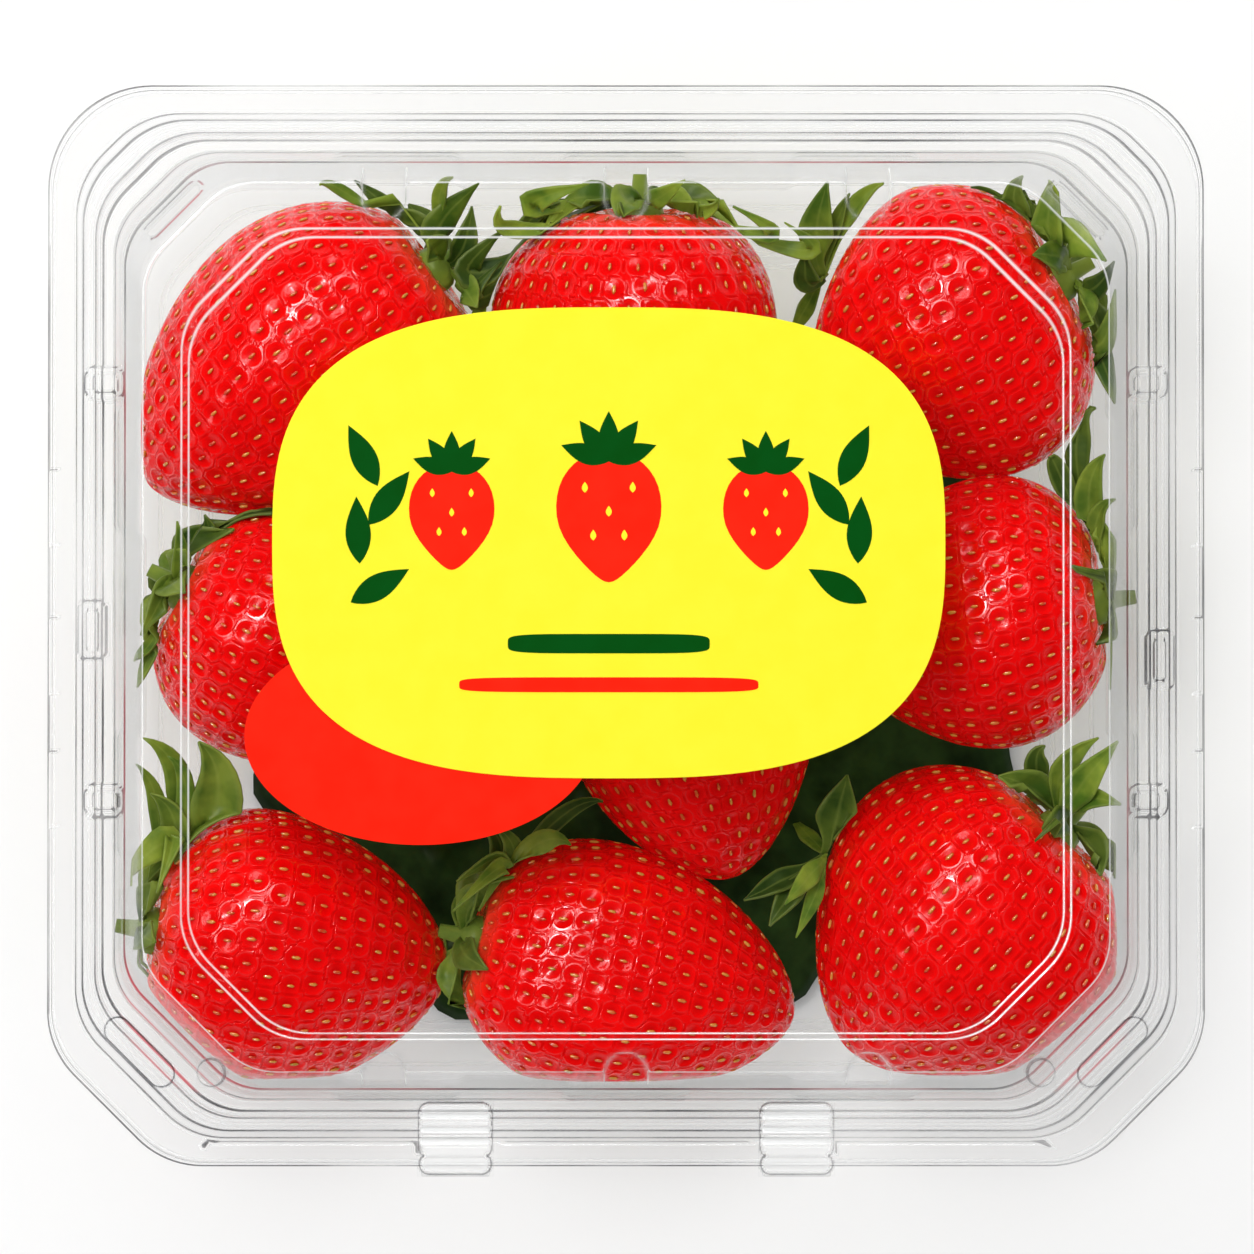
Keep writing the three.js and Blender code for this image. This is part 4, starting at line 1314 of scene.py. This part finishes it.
def print_material(name, low, high):
    """Printed sticker stock: a nearly even colour with faint fibres."""
    graph = Graph(name)
    return graph.finish({
        "Base Color": graph.ramp(graph.noise(240, 4.0), ((0.35, low), (0.65, high))),
        "Roughness": 0.5, "Specular IOR Level": 0.02,
        "Normal": graph.bump(graph.noise(1500), 0.06, 0.05 * MM),
    })


def floor_material():
    """Plain white ground."""
    graph = Graph("floor")
    return graph.finish({"Base Color": (0.93, 0.93, 0.93), "Roughness": 0.9, "Specular IOR Level": 0.1})


# Stickers

def plate(outline, low, high, material, name):
    """A flat body over a closed outline (n, 2)."""
    middle = outline.mean(axis=0)
    levels = ((high, 0.997), (high - (high - low) * 0.3, 1.0), (low, 1.0))
    rings = [at_height(middle + (outline - middle) * shrink, level) for level, shrink in levels]
    return new_object(name, *loft(np.array(rings)), material, smooth=False)


def squared_oval(x, y, width, depth, power, sides=160):
    """An oval outline that grows squarer with its power."""
    angles = circle(sides)
    c, s = np.cos(angles), np.sin(angles)
    return np.stack([
        x + width / 2 * np.sign(c) * np.abs(c) ** (2 / power),
        y + depth / 2 * np.sign(s) * np.abs(s) ** (2 / power),
    ], axis=1)


def leaf_outline(length, width):
    """A pointed leaf along +X from the origin."""
    shares = np.linspace(0, 1, 15)
    half = width / 2 * np.sin(np.pi * shares**0.85)
    lower = np.stack([shares * length, -half], axis=1)
    upper = np.stack([shares * length, half], axis=1)[::-1][1:-1]
    return np.concatenate([lower, upper])


def berry_outline(size):
    """A plain drawn berry, point down."""
    angles = circle(40)
    x = np.sin(angles) * (0.5 - 0.13 * (1 - np.cos(angles)) / 2)
    y = np.cos(angles) * 0.55
    squeeze = np.where(y < 0, 1 - 0.42 * (y / 0.55) ** 2, 1)
    return np.stack([-x * squeeze * size, y * size], axis=1)


def make_prints(low, materials):
    """Generic printed motifs on the yellow sticker: a row of three berries, bars and leaf sprigs."""
    green, red, yellow = materials
    parts = []
    middle = (YELLOW_LOW + YELLOW_HIGH) / 2

    def add(name, outline, angle, x, y, material, lift=0.0):
        place = (middle[0] + x * MM, middle[1] + y * MM)
        parts.append(plate(turned(outline, angle, place), low + lift, low + INK + lift, material, name))

    for i, (x, size) in enumerate(PRINT_BERRIES):
        add(f"print_berry_{i + 1}", berry_outline(size * MM), 0.0, x, PRINT_BERRY_Y, red)
        crown = leaf_outline(size * 0.42 * MM, size * 0.17 * MM)
        seed = leaf_outline(size * 0.09 * MM, size * 0.05 * MM)
        for k in range(5):
            angle = math.pi / 2 + (k - 2) * 0.62
            lift = (0.02 + 0.004 * k) * MM
            add(f"print_crown_{i + 1}_{k + 1}", crown, angle, x, PRINT_BERRY_Y + size * 0.46, green, lift)
        for k, (dx, dy) in enumerate(PRINT_SEEDS):
            at = (x + dx * size, PRINT_BERRY_Y + dy * size)
            add(f"print_seed_{i + 1}_{k + 1}", seed, math.pi / 2, *at, yellow, 0.03 * MM)
    for i, (length, width, y) in enumerate(PRINT_BARS):
        bar = squared_oval(0, 0, length * MM, width * MM, 5, sides=64)
        add(f"print_bar_{i + 1}", bar, 0.0, 0, y, green if i == 0 else red)
    leaf = leaf_outline(PRINT_LEAF[0] * MM, PRINT_LEAF[1] * MM)
    for side in (-1, 1):
        for k in range(4):
            angle = math.pi / 2 + side * (1.05 - 0.2 * k) - side * 0.9 * (k % 2)
            add(f"print_sprig_{side}_{k}", leaf, angle, side * (34.5 - 1.2 * k), -8 + 5.2 * k, green)
    return parts


# Stage, light and camera

def make_stage(material):
    """The ground that the pack stands on."""
    corners = [(x * FLOOR_HALF, y * FLOOR_HALF, 0) for x, y in ((-1, -1), (1, -1), (1, 1), (-1, 1))]
    new_object("floor", corners, [(0, 1, 2, 3)], material, smooth=False)


def area_light(name, place, size, power, mirrored=False):
    """A lamp aimed at the pack, that either shows in glossy surfaces or lights the rest."""
    target = (0, 0, 0.02)
    data = bpy.data.lights.new(name, "AREA")
    data.shape = "RECTANGLE"
    data.size, data.size_y = size
    data.energy = power
    lamp = bpy.data.objects.new(name, data)
    lamp.visible_glossy = mirrored
    lamp.visible_diffuse = not mirrored
    lamp.location = place
    lamp.rotation_euler = (Vector(target) - Vector(place)).to_track_quat("-Z", "Y").to_euler()
    bpy.context.scene.collection.objects.link(lamp)


def make_light():
    """An even white studio with one window's reflection, and the renderer's bounces."""
    scene = bpy.context.scene
    scene.world = bpy.data.worlds.new("studio")
    scene.world.use_nodes = True
    scene.world.cycles_visibility.glossy = False
    background = scene.world.node_tree.nodes["Background"]
    background.inputs["Color"].default_value = (1, 1, 1, 1)
    background.inputs["Strength"].default_value = 0.5
    area_light("strip", (-0.32, 0.36, 0.92), (2.0, 0.17), 15, mirrored=True)
    area_light("spark", (-0.30, 0.34, 0.92), (0.1, 0.1), 3.5, mirrored=True)
    area_light("key", (-0.30, 0.34, 0.92), (0.7, 0.4), 4.4)
    area_light("soft", (-0.2, 0.25, 1.5), (1.6, 1.6), 7)
    area_light("rim", (0.0, 0.95, 0.4), (0.8, 0.15), 1.2)
    scene.view_settings.view_transform = "Standard"
    scene.cycles.transparent_max_bounces = 24
    scene.cycles.max_bounces = 6
    scene.cycles.diffuse_bounces = 3
    scene.cycles.glossy_bounces = 2


def make_camera():
    """A camera almost straight above, whose frame is the photo's."""
    data = bpy.data.cameras.new("camera")
    data.sensor_width = SENSOR
    data.lens = SENSOR * (CAMERA_DISTANCE - PARTING) / (PHOTO_SIDE / PX_PER_M)
    camera = bpy.data.objects.new("camera", data)
    back = Vector((0, -math.cos(CAMERA_ELEVATION), math.sin(CAMERA_ELEVATION)))
    camera.location = Vector(CAMERA_TARGET) + back * CAMERA_DISTANCE
    camera.rotation_euler = (math.pi / 2 - CAMERA_ELEVATION, 0, 0)
    bpy.context.scene.collection.objects.link(camera)
    bpy.context.scene.camera = camera


def seen_through(items, shades=False):
    """Film that is neither mirrored nor lights up its contents."""
    for item in items:
        item.visible_shadow = shades
        item.visible_diffuse = False
        item.visible_glossy = False
    return items


def place(items, body, slot, *nodes):
    """Every piece rides on its body and stands for its nodes, which are hidden; the slot is not used."""
    for item in items:
        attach(item, body)
        if nodes:
            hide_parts(*nodes)


def make_film():
    """The tray and the lid with its latches and trim."""
    film = film_material()
    place(seen_through([make_tray(film)], shades=True), TRAY, "clear_film", "tray")
    lid_parts = [make_lid(film)]
    for i, x in enumerate(LATCH_X):
        lid_parts += make_latch(x, f"latch_{i + 1}", film)
    for side in (-1, 1):
        lid_parts += make_corner_trim(side, film)
    place(seen_through(lid_parts), LID, "clear_film", "lid")


def make_heap():
    """The berries, their seeds and leaves, and the bed of leaves between them, near-black as painted shade.
    """
    skin = berry_material()
    leaf = leaf_material()
    berries = []
    seeds = []
    leaves = []
    for number in range(len(BERRIES)):
        item, spots, along, out = berry_body(number, skin)
        item.visible_diffuse = False
        berries.append(item)
        seeds.append(seed_mesh(spots, along, out))
        leaves += calyx_parts(number)
    place(berries, TRAY, "berry_flesh", "berries")
    place([new_object("seeds", *join(seeds), seed_material())], TRAY, "berry_flesh", "berries")
    leaves += sprig_parts()
    calyxes = new_object("calyx_leaves", *join([part[:2] for part in leaves]), leaf)
    set_attribute(calyxes, "tone", np.concatenate([part[2] for part in leaves]))
    set_attribute(calyxes, "edge", np.concatenate([part[3] for part in leaves]))
    place([calyxes, heap_core(leaf)], TRAY, "berry_leaf", "berries")


def make_stickers():
    """The yellow sticker with its prints, and the red one under its edge."""
    yellow = print_material("yellow_print", (0.96, 0.85, 0.030), (0.98, 0.87, 0.036))
    red = print_material("red_print", (0.93, 0.014, 0.003), (0.96, 0.018, 0.005))
    green = print_material("green_print", (0.0, 0.066, 0.003), (0.0, 0.074, 0.005))
    middle = (YELLOW_LOW + YELLOW_HIGH) / 2
    size = YELLOW_HIGH - YELLOW_LOW
    outline = squared_oval(*middle[:2], *size[:2], 2.9)
    label = plate(outline, YELLOW_LOW[2], YELLOW_HIGH[2], yellow, "yellow_sticker")
    place([label], LID, "yellow_sticker", "label_yellow")
    outline = squared_oval(*(RED_LOW[:2] + RED_SIZE / 2), *RED_SIZE, 2)
    patch = plate(outline, *(RED_LOW[2] - RED_FACES), red, "red_sticker")
    place([patch], LID, "red_sticker", "label_red")
    place(make_prints(YELLOW_HIGH[2], (green, red, yellow)), LID, "green_print")


make_stage(floor_material())
make_light()
make_camera()
make_film()
make_heap()
make_stickers()
